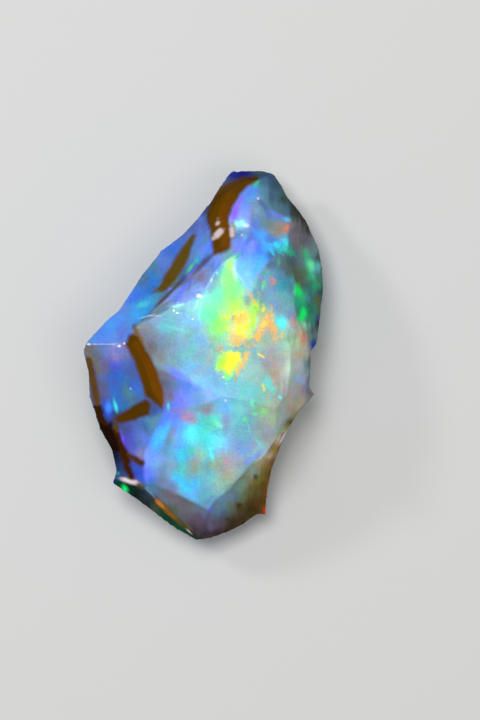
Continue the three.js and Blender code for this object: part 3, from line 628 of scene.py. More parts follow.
# The play of colour, in the order in which the flashes lie over each other. Each row holds a Flash's x, y,
# long, wide, turn, hue, strength and grain.
S, R, F, C = Grain
FLASHES = tuple(Flash(*row) for row in (
    # shelf, the painted shade along its crease, and the bevel
    (-4.5, 3.8, 0.45, 0.22, 15, Hue.TURQUOISE, 0.6, S), (-3.7, 4.2, 0.9, 0.3, 30, Hue.TEAL, 0.6, S),
    (-1.0, 6.5, 0.16, 0.6, -30, Hue.JADE, 0.8, S), (-0.5, 7.1, 0.14, 0.2, 0, Hue.JADE, 0.9, S),
    (-0.7, 7.7, 0.4, 1.1, -30, Hue.STEEL, 0.9, S), (0.25, 8.8, 0.25, 0.7, -15, Hue.STEEL, 0.9, S),
    (-2.3, 5.5, 0.4, 0.12, 30, Hue.JADE, 0.5, S), (-2.55, 5.0, 0.2, 0.17, 0, Hue.VIOLET, 0.8, S),
    (-0.9, 6.2, 0.65, 0.13, 45, Hue.VIOLET, 0.85, S), (-0.1, 7.9, 0.35, 0.55, -30, Hue.CORNFLOWER, 0.7, S),
    # painted shade: the dark maroon lines down the crease
    (-2.4, 4.8, 2.4, 0.14, 45, Hue.MAROON, 0.7, S), (0.0, 6.9, 1.1, 0.2, 45, Hue.MAROON, 0.6, S),
    (-1.5, 4.9, 0.95, 0.17, 45, Hue.VIOLET, 0.85, S), (-3.0, 3.75, 1.0, 0.08, 30, Hue.MAUVE, 0.6, S),
    (-0.3, 5.75, 1.1, 0.08, 45, Hue.MAUVE, 0.5, S), (-4.1, 2.95, 0.75, 0.06, 15, Hue.PALE_MINT, 0.45, R),
    # left face
    (-6.6, -3.8, 0.14, 0.5, 15, Hue.TURQUOISE, 0.85, S), (-7.15, -3.9, 0.25, 0.5, 0, Hue.AZURE, 0.55, S),
    (-5.5, -2.8, 0.5, 0.35, 0, Hue.TEAL, 0.3, S), (-6.4, 0.3, 0.35, 0.25, 0, Hue.ROYAL, 0.6, S),
    # main face, upper left
    (-1.9, 1.95, 0.9, 0.14, -15, Hue.SEAFOAM, 0.5, F), (-1.9, 3.7, 0.5, 0.14, 15, Hue.PALE_MINT, 0.7, R),
    (-1.5, 3.3, 0.25, 0.2, -30, Hue.SKY, 0.5, R), (-0.9, 3.9, 0.5, 0.35, 30, Hue.ICE, 0.6, S),
    (-0.05, 4.0, 0.09, 0.9, -15, Hue.PALE_SKY, 0.6, S), (0.55, 5.6, 0.1, 0.9, -30, Hue.PALE_SKY, 0.6, S),
    # the green and yellow break
    (0.8, 3.5, 0.55, 1.1, -15, Hue.MINT, 0.6, F), (1.95, 5.5, 0.5, 1.3, 0, Hue.SPRING, 0.55, R),
    (2.1, 4.3, 0.75, 1.0, 0, Hue.SPRING, 0.5, F), (1.95, 6.75, 0.2, 0.4, 0, Hue.LIME, 0.45, S),
    (1.0, 2.3, 0.5, 0.8, 15, Hue.SPRING, 0.6, R), (2.4, 3.6, 0.4, 0.5, -15, Hue.LIME, 0.6, C),
    (1.5, 2.3, 0.5, 0.6, -15, Hue.LIME, 0.5, C), (2.35, 6.1, 0.16, 0.6, 15, Hue.CHALK, 0.35, R),
    (2.75, 5.6, 0.12, 0.6, 30, Hue.PALE_SKY, 0.6, S), (2.85, 2.1, 0.75, 1.1, -15, Hue.GOLD, 0.85, C),
    (2.8, 2.7, 0.6, 0.5, 0, Hue.APRICOT, 0.6, C), (2.6, 1.3, 0.5, 0.45, 0, Hue.APRICOT, 0.7, C),
    (2.6, 1.9, 0.3, 0.35, -15, Hue.YELLOW, 0.35, C), (2.15, 2.6, 0.1, 0.3, -15, Hue.SEA, 0.5, C),
    (3.75, 2.0, 0.1, 0.3, 0, Hue.SEA, 0.5, C), (3.7, 2.8, 0.25, 1.0, 0, Hue.LIME, 0.8, C),
    (3.3, 2.0, 0.4, 0.6, 0, Hue.LIME, 0.5, C), (3.9, 3.8, 0.2, 0.35, 30, Hue.LIME, 0.7, C),
    (3.7, 4.2, 0.14, 0.6, 30, Hue.APRICOT, 0.6, C), (3.3, 4.2, 0.25, 0.5, 15, Hue.STEEL, 0.4, C),
    (4.5, 3.5, 0.14, 0.3, 0, Hue.CORN, 0.7, C), (4.1, 4.7, 0.14, 0.5, 30, Hue.SAGE, 0.6, C),
    (4.3, 2.0, 0.25, 1.0, -30, Hue.APRICOT, 0.85, C), (4.8, 2.6, 0.35, 0.7, -15, Hue.APRICOT, 0.6, C),
    (5.2, 1.9, 0.25, 0.8, 15, Hue.APRICOT, 0.7, C), (4.1, 1.3, 0.16, 0.35, -15, Hue.APRICOT, 0.7, R),
    (4.5, 2.3, 0.2, 0.5, -30, Hue.CORN, 0.5, C), (5.9, 1.6, 0.1, 0.35, 0, Hue.APRICOT, 0.6, C),
    (3.3, 0.85, 0.35, 0.3, 0, Hue.PEACH, 0.45, C), (1.3, 0.45, 0.3, 0.25, 30, Hue.PEACH, 0.5, C),
    # the yellow spot and its crumbs
    (1.45, -0.55, 0.5, 0.65, 0, Hue.LIME, 0.9, R), (2.05, -0.45, 0.7, 0.75, -15, Hue.LIME, 0.8, R),
    (1.85, -1.3, 0.35, 0.5, -30, Hue.SPRING, 0.8, R), (2.2, -0.2, 0.5, 0.5, -15, Hue.YELLOW, 0.9, R),
    (1.95, -0.9, 0.35, 0.55, -15, Hue.YELLOW, 0.75, R), (2.5, 0.1, 0.2, 0.3, 0, Hue.GOLD, 0.6, R),
    (3.15, -0.1, 0.25, 0.3, 0, Hue.APRICOT, 0.8, C), (2.85, -0.65, 0.25, 0.35, -15, Hue.APRICOT, 0.75, C),
    (2.55, -1.2, 0.16, 0.35, -15, Hue.APRICOT, 0.75, C), (2.42, -1.75, 0.08, 0.25, 0, Hue.ORANGE, 0.7, R),
    (4.3, -0.02, 0.28, 0.09, -30, Hue.GOLD, 0.9, R),
    # right of the main face
    (5.1, -0.5, 0.5, 1.2, 0, Hue.ROSE, 0.25, S), (4.8, -1.9, 0.3, 0.4, 15, Hue.SEAFOAM, 0.9, R),
    (5.05, -2.4, 0.5, 0.25, -45, Hue.SEAFOAM, 0.9, C), (5.7, -3.1, 0.2, 0.12, -45, Hue.AQUA, 0.7, R),
    (4.5, -2.4, 0.1, 0.3, 15, Hue.GOLD, 0.7, R), (5.85, -2.4, 0.09, 0.45, 0, Hue.GOLD, 0.45, S),
    (7.2, -1.9, 0.55, 0.12, -30, Hue.ICE, 0.9, S), (7.75, -2.25, 0.16, 0.16, 0, Hue.LILAC, 0.6, S),
    (7.7, -0.7, 0.2, 0.7, 15, Hue.JADE, 0.3, S), (6.9, -3.3, 0.3, 0.2, 0, Hue.JADE, 0.3, S),
    (7.5, 1.3, 0.28, 0.7, 0, Hue.PEACH, 0.75, S), (5.85, 2.5, 0.4, 0.35, -15, Hue.AQUA, 0.7, S),
    (6.65, 2.6, 0.12, 0.45, -15, Hue.SALMON, 0.65, S), (5.2, 5.6, 0.32, 0.2, -45, Hue.ROSE, 0.8, R),
    (5.2, 5.35, 0.2, 0.14, 0, Hue.PEACH, 0.5, R), (4.6, 6.1, 0.22, 0.12, -30, Hue.JADE, 0.9, R),
    (4.5, 5.2, 0.14, 0.3, -15, Hue.SPRING, 0.6, C), (5.0, 5.95, 0.16, 0.12, 0, Hue.JADE, 0.7, R),
    # blue facet and the narrow end
    (3.6, 8.1, 0.35, 0.5, -15, Hue.PERIWINKLE, 0.7, S), (2.6, 7.4, 0.3, 0.16, 30, Hue.JADE, 0.8, R),
    (5.45, 8.3, 0.4, 0.22, -15, Hue.CYAN, 0.7, R), (6.4, 7.85, 0.55, 0.3, -45, Hue.JADE, 0.85, R),
    (5.8, 8.0, 0.5, 0.3, -15, Hue.TURQUOISE, 0.5, C), (6.15, 8.5, 0.25, 0.3, 0, Hue.TURQUOISE, 0.65, R),
    (4.6, 8.4, 0.14, 0.7, 30, Hue.AZURE, 0.7, S), (5.1, 7.8, 0.12, 0.4, 30, Hue.CYAN, 0.6, R),
    (6.2, 9.55, 0.2, 0.45, -45, Hue.SALMON, 0.75, S), (5.4, 10.6, 0.9, 0.14, -30, Hue.CORNFLOWER, 0.85, S),
    (4.5, 11.3, 0.6, 0.2, -45, Hue.DENIM, 0.8, S), (6.3, 10.2, 0.3, 0.16, -15, Hue.CYAN, 0.8, S),
    (3.45, 10.0, 0.07, 0.9, 0, Hue.LILAC, 0.7, S), (2.75, 9.85, 0.5, 0.35, 0, Hue.PALE_MINT, 0.75, R),
    (3.2, 9.75, 0.3, 0.16, 0, Hue.CHALK, 0.45, R), (2.9, 9.1, 0.4, 0.3, 0, Hue.STEEL, 0.5, R),
    (2.35, 10.7, 0.22, 0.7, -15, Hue.PURPLE, 0.7, S), (2.85, 11.8, 0.18, 0.6, -30, Hue.PURPLE, 0.7, S),
    (3.2, 12.1, 0.25, 0.7, -30, Hue.CORNFLOWER, 0.7, S), (4.0, 13.0, 0.35, 0.14, 45, Hue.JADE, 0.8, S),
    # dark right side
    (7.05, 4.9, 0.3, 0.5, 15, Hue.EMERALD, 0.9, S), (7.5, 3.15, 0.3, 0.6, -15, Hue.EMERALD, 0.95, S),
    (7.3, 2.8, 0.3, 0.2, 30, Hue.EMERALD, 0.7, R), (8.1, 6.75, 0.3, 0.45, 0, Hue.MINT, 0.7, S),
    (7.75, 7.65, 0.22, 0.4, 15, Hue.JADE, 0.8, S), (8.5, 5.3, 0.3, 0.5, 0, Hue.JADE, 0.35, S),
    (7.9, 4.3, 0.16, 0.16, 0, Hue.TEAL, 0.6, S), (5.6, 7.0, 0.12, 0.3, 0, Hue.JADE, 0.6, S),
    (6.4, 6.9, 0.3, 0.5, 15, Hue.MOSS, 0.5, S), (8.2, 0.7, 0.2, 0.4, 0, Hue.NAVY, 0.9, S),
    (8.55, 2.8, 0.2, 0.35, 0, Hue.GRAPE, 0.35, S),
    # violet facet and the patches under it
    (-1.9, -1.35, 1.1, 0.25, -30, Hue.VIOLET, 0.6, S), (-2.6, -3.8, 0.1, 0.3, 0, Hue.TURQUOISE, 0.8, S),
    (0.2, -2.2, 1.1, 0.35, -30, Hue.PALE_SKY, 0.5, F), (-1.1, -4.6, 0.7, 0.42, -15, Hue.BLUSH, 0.6, R),
    (-1.3, -4.6, 0.4, 0.2, -15, Hue.ROSE, 0.4, R), (-0.6, -5.0, 0.2, 0.12, 0, Hue.ROSE, 0.5, R),
    (0.2, -3.9, 0.6, 0.4, 0, Hue.MAUVE, 0.35, S),
    # the bright lower face
    (-3.1, -6.1, 1.1, 0.26, 60, Hue.CYAN, 0.4, F), (-2.6, -6.4, 1.1, 0.28, 75, Hue.STEEL, 0.5, S),
    (-3.1, -8.9, 1.0, 0.4, 75, Hue.DUSK, 0.35, S), (-2.2, -5.6, 0.5, 0.18, 60, Hue.LILAC, 0.45, S),
    (-3.6, -7.2, 0.9, 0.14, 60, Hue.AZURE, 0.5, S), (-0.9, -5.9, 0.5, 0.8, 0, Hue.AQUA, 0.5, F),
    (0.0, -5.6, 0.5, 0.8, 0, Hue.TURQUOISE, 0.45, F), (1.1, -6.5, 0.65, 0.6, 0, Hue.AQUA, 0.55, R),
    (0.6, -7.4, 0.16, 0.6, 15, Hue.AQUA, 0.6, R), (0.8, -5.0, 0.9, 0.4, -15, Hue.MINT, 0.4, C),
    (0.6, -5.1, 0.9, 0.5, -15, Hue.STEEL, 0.3, C), (1.2, -5.15, 0.4, 0.18, -30, Hue.PALE_MINT, 0.6, C),
    (1.75, -4.05, 0.2, 0.2, 0, Hue.CYAN, 0.6, C), (-1.6, -8.2, 0.25, 1.0, 0, Hue.TURQUOISE, 0.4, F),
    (-1.35, -9.95, 1.0, 0.2, -45, Hue.CYAN, 0.6, F), (-0.65, -9.7, 0.14, 0.6, 0, Hue.AZURE, 0.5, S),
    (-0.55, -8.2, 0.75, 0.2, 75, Hue.STRAW, 0.65, S), (-0.2, -7.6, 0.5, 0.25, 60, Hue.SAGE, 0.5, S),
    (1.7, -4.9, 0.25, 0.9, 0, Hue.LILAC, 0.45, F),
    # flakes right of it
    (3.65, -3.6, 0.16, 0.35, 15, Hue.MINT, 0.9, R), (3.1, -4.75, 0.15, 0.14, 0, Hue.MINT, 0.75, C),
    (3.85, -4.35, 0.24, 0.12, -15, Hue.MINT, 0.65, C), (4.5, -4.2, 0.25, 0.25, 0, Hue.SPRING, 0.42, C),
    (2.9, -3.75, 0.75, 0.45, -15, Hue.SEAFOAM, 0.7, S), (2.6, -4.1, 0.4, 0.8, 15, Hue.SEAFOAM, 0.4, F),
    (2.8, -6.1, 0.45, 0.8, 0, Hue.SEA, 0.5, C), (3.4, -5.4, 0.07, 0.6, 15, Hue.SEAFOAM, 0.8, R),
    (4.15, -6.6, 0.08, 0.65, 30, Hue.SEAFOAM, 0.7, R), (5.1, -3.6, 0.5, 0.35, 0, Hue.SPRING, 0.18, S),
    (3.9, -7.6, 0.65, 0.1, 30, Hue.PERIWINKLE, 0.8, S), (3.35, -7.95, 0.2, 0.12, 0, Hue.PERIWINKLE, 0.7, S),
    (0.65, -8.8, 0.12, 0.16, 0, Hue.CYAN, 0.5, R),
    # left lower faces
    (-4.25, -8.2, 0.2, 1.1, 0, Hue.PERIWINKLE, 0.7, S), (-4.3, -9.9, 0.25, 0.1, -30, Hue.SKY, 0.8, S),
    (-6.1, -6.2, 0.12, 0.6, 15, Hue.PURPLE, 0.35, S), (-6.45, -8.9, 0.2, 0.16, 0, Hue.JADE, 0.5, S),
    (-6.9, -9.6, 0.16, 0.4, 0, Hue.INDIGO, 0.9, S),
    # bottom faces
    (-4.0, -10.35, 0.6, 0.08, -45, Hue.FROST, 0.5, S), (-2.7, -11.75, 1.3, 0.2, -45, Hue.HONEY, 0.9, S),
    (-3.3, -11.2, 0.4, 0.16, -45, Hue.ORANGE, 0.6, S), (-1.25, -12.9, 0.5, 0.12, -45, Hue.OLIVE, 0.9, S),
    (-5.95, -10.05, 0.25, 0.36, 30, Hue.EMERALD, 1.0, S), (0.45, -11.55, 0.16, 0.13, 0, Hue.VIOLET, 0.8, S),
    (2.6, -9.4, 0.9, 0.07, 45, Hue.SLATE, 0.4, S),
    # thin amber rim, partly painted glow of light through the thin edge
    (4.6, -11.8, 0.14, 0.35, 0, Hue.EMBER, 0.95, S), (4.85, -9.6, 0.14, 1.6, -15, Hue.AMBER, 0.5, S),
    (6.1, -5.9, 0.9, 0.1, 60, Hue.AMBER, 0.6, S), (8.3, -2.9, 0.3, 0.1, 15, Hue.EMBER, 0.4, S),
))

# Small pale bruises on the ridges, and painted highlights: bright glints along ridges, rims and the skin, in
# the same way.
BRUISES_AND_GLINTS = tuple(Flash(*row) for row in (
    (-2.2, 3.35, 0.08, 0.08, 0, Hue.CHALK, 0.8, R), (-1.95, 3.15, 0.08, 0.06, 0, Hue.CHALK, 0.8, R),
    (-1.2, 2.9, 0.3, 0.04, -30, Hue.ICE, 0.6, R), (-0.8, 2.7, 0.08, 0.06, 0, Hue.CHALK, 0.9, R),
    (-0.25, 4.4, 0.24, 0.14, -15, Hue.CHALK, 0.95, R), (0.6, 5.6, 0.07, 0.14, -15, Hue.CHALK, 0.6, R),
    (4.1, 11.8, 0.1, 0.1, 0, Hue.PEARL, 0.8, S), (1.5, -1.6, 0.08, 0.08, 0, Hue.CHALK, 0.7, R),
    (1.7, -2.1, 0.06, 0.06, 0, Hue.CHALK, 0.6, R), (1.66, -3.35, 0.1, 0.09, 0, Hue.CHALK, 0.7, R),
    (-5.45, -2.5, 0.09, 0.09, 0, Hue.CHALK, 0.35, S), (-2.2, 6.35, 0.26, 0.06, -15, Hue.STRAW, 0.5, S),
    # painted highlights: the glint line and dots along the left ridge, and the long pale glints below
    (-7.5, 0.85, 1.3, 0.05, 0, Hue.ICE, 0.8, R), (-6.3, 0.7, 0.13, 0.09, 0, Hue.CHALK, 0.8, R),
    (-5.9, 0.9, 0.09, 0.1, 0, Hue.CHALK, 0.8, R), (-8.6, 0.85, 0.14, 0.08, 0, Hue.CHALK, 0.5, R),
    (-5.65, -9.45, 0.7, 0.2, -15, Hue.PEARL, 1.0, S), (-1.1, -13.3, 0.3, 0.08, -45, Hue.PEARL, 0.9, S),
    (5.95, -6.2, 0.65, 0.11, 60, Hue.PEARL, 1.0, S), (2.9, 9.0, 0.1, 0.1, 0, Hue.PEARL, 0.6, S),
    (-3.7, 2.95, 0.5, 0.03, 0, Hue.CHALK, 0.5, R),
))


# ------------------------------------------------------------------------------------------
# Working in Blender
# ------------------------------------------------------------------------------------------


def only(obj: bpy.types.Object) -> None:
    """Selects one object alone and makes it active.

    Args:
        obj: the object.
    """
    bpy.ops.object.select_all(action="DESELECT")
    obj.select_set(True)
    bpy.context.view_layer.objects.active = obj


def apply_modifier(obj: bpy.types.Object, kind: str, **settings: Any) -> None:
    """Adds a modifier with its settings and applies it.

    Args:
        obj: the piece.
        kind: the modifier's type.
        **settings: its properties.
    """
    only(obj)
    modifier = obj.modifiers.new(kind.title(), kind)
    for name, value in settings.items():
        setattr(modifier, name, value)
    bpy.ops.object.modifier_apply(modifier=modifier.name)


# The least squared length that a piece of line counts as having, so that nothing is divided by 0.
LEAST_SQUARE = 1e-12


def segment_distance(points: np.ndarray, start: np.ndarray, end: np.ndarray) -> np.ndarray:
    """Measures how far points lie from a straight piece of line.

    Args:
        points: an (n, 2) array.
        start: one end.
        end: the other end.

    Returns:
        One distance for each point.
    """
    way = end - start
    along = np.clip(((points - start) @ way) / max(way @ way, LEAST_SQUARE), 0, 1)
    return np.linalg.norm(points - start - along[:, None] * way, axis=1)


def line_distance(points: np.ndarray, line: Outline) -> np.ndarray:
    """Measures how far points lie from an open line of straight pieces."""
    corners = np.array(line)
    return np.min([segment_distance(points, a, b) for a, b in zip(corners, corners[1:])], axis=0)


def outline_distance(points: np.ndarray, outline: Outline) -> np.ndarray:
    """Measures how far points lie from a closed outline.

    Args:
        points: an (n, 2) array.
        outline: the outline's corners.

    Returns:
        One distance for each point, below 0 inside.
    """
    corners = np.array(outline)
    nearest = np.full(len(points), np.inf)
    inside = np.zeros(len(points), bool)
    for start, end in zip(corners, np.roll(corners, -1, axis=0)):
        nearest = np.minimum(nearest, segment_distance(points, start, end))
        crosses = (start[1] > points[:, 1]) != (end[1] > points[:, 1])
        rise = end[1] - start[1]
        if rise:
            at = start[0] + (points[:, 1] - start[1]) * (end[0] - start[0]) / rise
            inside ^= crosses & (points[:, 0] < at)
    return np.where(inside, -nearest, nearest)


# The level at which the wandering noise is read, and the seed that keeps it the same in each run.
NOISE_LEVEL = 3.7
NOISE_SEED = 91


def wander(plan: np.ndarray, size: float, reach: float) -> np.ndarray:
    """Smooth sideways shifts of up to reach in waves of a size, so that no colour border runs straight."""
    noise.seed_set(NOISE_SEED)
    return reach * np.array([noise.noise_vector((x / size, y / size, NOISE_LEVEL)).xy for x, y in plan])


def smooth_step(low: float, high: float, values: np.ndarray) -> np.ndarray:
    """Rises smoothly from 0 at low to 1 at high."""
    t = np.clip((values - low) / (high - low), 0, 1)
    return t * t * (3 - 2 * t)


# ------------------------------------------------------------------------------------------
# Shader benches
# ------------------------------------------------------------------------------------------


class Signal:
    """A socket that carries a number, so that sums and products of signals add their Math nodes."""

    def __init__(self, bench: "NodeBench", socket: Socket) -> None:
        """Wraps an output socket of the bench's tree."""
        self.bench = bench
        self.socket = socket

    def __add__(self, other: "Signal | float") -> "Signal":
        """self + other."""
        return self.bench.math("ADD", self, other)

    __radd__ = __add__

    def __sub__(self, other: "Signal | float") -> "Signal":
        """self - other."""
        return self.bench.math("SUBTRACT", self, other)

    def __rsub__(self, other: "Signal | float") -> "Signal":
        """other - self."""
        return self.bench.math("SUBTRACT", other, self)

    def __mul__(self, other: "Signal | float") -> "Signal":
        """self * other."""
        return self.bench.math("MULTIPLY", self, other)

    __rmul__ = __mul__


class NodeBench:
    """A material's node tree, with one way to make each sort of node."""

    def __init__(self, name: str) -> None:
        """Makes an empty material.

        Args:
            name: the material's name.
        """
        self.material = bpy.data.materials.new(name)
        self.material.use_nodes = True
        self.tree = self.material.node_tree
        self.tree.nodes.clear()

    def node(self, kind: str, settings: dict[str, Any] | None = None, **inputs: Any) -> bpy.types.Node:
        """Makes a node.

        Args:
            kind: its type, without the ShaderNode in front.
            settings: its properties. stops sets a colour ramp's stops as (place, Hue) pairs.
            **inputs: a value, a Signal or a socket for each input, by name with _ for a space, or i0, i1 by
                place.

        Returns:
            The node.
        """
        made = self.tree.nodes.new(f"ShaderNode{kind}")
        for name, value in (settings or {}).items():
            if name == "stops":
                self._set_stops(made.color_ramp, value)
            else:
                setattr(made, name, value)
        for name, value in inputs.items():
            is_place = name[0] == "i" and name[1:].isdigit()
            socket = made.inputs[int(name[1:])] if is_place else made.inputs[name.replace("_", " ")]
            self._feed(socket, value)
        return made

    def _feed(self, socket: Socket, value: Any) -> None:
        """Links or sets one input.

        Args:
            socket: the input.
            value: the Signal or socket it is linked to, or the Hue or value it is set to.
        """
        if isinstance(value, Signal):
            value = value.socket
        if isinstance(value, Hue):
            value = value.rgba
        if isinstance(value, Socket):
            self.tree.links.new(value, socket)
        else:
            socket.default_value = value

    @staticmethod
    def _set_stops(ramp: bpy.types.ColorRamp, stops: Sequence[tuple[float, Hue]]) -> None:
        """Gives a colour ramp its stops.

        Args:
            ramp: the ramp.
            stops: each stop's place and hue.
        """
        while len(ramp.elements) < len(stops):
            ramp.elements.new(1.0)
        for element, (place, hue) in zip(ramp.elements, stops):
            element.position = place
            element.color = hue.rgba

    def math(self, operation: str, *values: Signal | float) -> Signal:
        """Makes a Math node and returns its result."""
        inputs = {f"i{place}": value for place, value in enumerate(values)}
        return Signal(self, self.node("Math", {"operation": operation}, **inputs).outputs[0])

    def vector_math(self, operation: str, *values: Any) -> bpy.types.Node:
        """Makes a Vector Math node."""
        inputs = {f"i{place}": value for place, value in enumerate(values)}
        return self.node("VectorMath", {"operation": operation}, **inputs)

    def product(self, first: Any, second: Any) -> Socket:
        """Multiplies two colours or vectors, each a socket or three numbers."""
        return self.vector_math("MULTIPLY", first, second).outputs[0]

    def product_sum(self, first: Any, second: Any, third: Any) -> Socket:
        """Multiplies the first two vectors and adds the third."""
        return self.vector_math("MULTIPLY_ADD", first, second, third).outputs[0]

    def length(self, vector: Socket) -> Signal:
        """The length of a vector."""
        return Signal(self, self.vector_math("LENGTH", vector).outputs["Value"])

    def turned(self, vector: Socket, degrees: float, scale: Triple = (1.0, 1.0, 1.0)) -> Socket:
        """Scales a vector and turns it anticlockwise, seen from above."""
        made = self.node(
            "Mapping", {"vector_type": "POINT"},
            Vector=vector, Rotation=(0.0, 0.0, math.radians(degrees)), Scale=scale,
        )
        return made.outputs[0]

    def coloured_noise(self, place: Socket, scale: float, detail: float) -> Socket:
        """Makes a noise that differs in red, green and blue."""
        return self.node("TexNoise", None, Vector=place, Scale=scale, Detail=detail).outputs["Color"]

    def noise(self, place: Socket, scale: float, detail: float, roughness: float = 0.5) -> Signal:
        """Makes a noise around 0.5."""
        made = self.node("TexNoise", None, Vector=place, Scale=scale, Detail=detail, Roughness=roughness)
        return Signal(self, made.outputs[0])

    def step(self, value: Signal, start: float, full: float, top: float = 1.0) -> Signal:
        """Rises smoothly with a value, or falls if full is below start.

        Args:
            value: what it follows.
            start: the value at which it is 0.
            full: the value at which it is top.
            top: how high it gets.

        Returns:
            The result.
        """
        made = self.node(
            "MapRange", {"interpolation_type": "SMOOTHSTEP", "clamp": False},
            Value=value, From_Min=start, From_Max=full, To_Min=0.0, To_Max=top,
        )
        return Signal(self, made.outputs[0])

    def ramp(self, value: Signal, stops: Sequence[tuple[float, Hue]]) -> Socket:
        """Colours a value by its place between stops."""
        return self.node("ValToRGB", {"stops": stops}, Fac=value).outputs[0]

    def blend(self, first: Any, second: Any, share: Signal | float, mode: str = "MIX") -> Socket:
        """Mixes two colours: the first where share is 0, the second where it is 1."""
        made = self.node("Mix", {"data_type": "RGBA", "blend_type": mode}, i0=share, i6=first, i7=second)
        return made.outputs[2]

    def attribute(self, name: str, output: str = "Fac") -> Socket:
        """Reads a value that the mesh carries."""
        return self.node("Attribute", {"attribute_name": name}).outputs[output]

    def relief(self, height: Signal, strength: float, depth: float) -> Socket:
        """Makes a bumpy normal, its depth in millimetres."""
        return self.node("Bump", None, Strength=strength, Distance=depth * MM, Height=height).outputs[0]

    def finish(self, surface: Socket) -> bpy.types.Material:
        """Connects the surface to the output and returns the material."""
        self.node("OutputMaterial", None, Surface=surface)
        return self.material


# ------------------------------------------------------------------------------------------
# Finishes
# ------------------------------------------------------------------------------------------


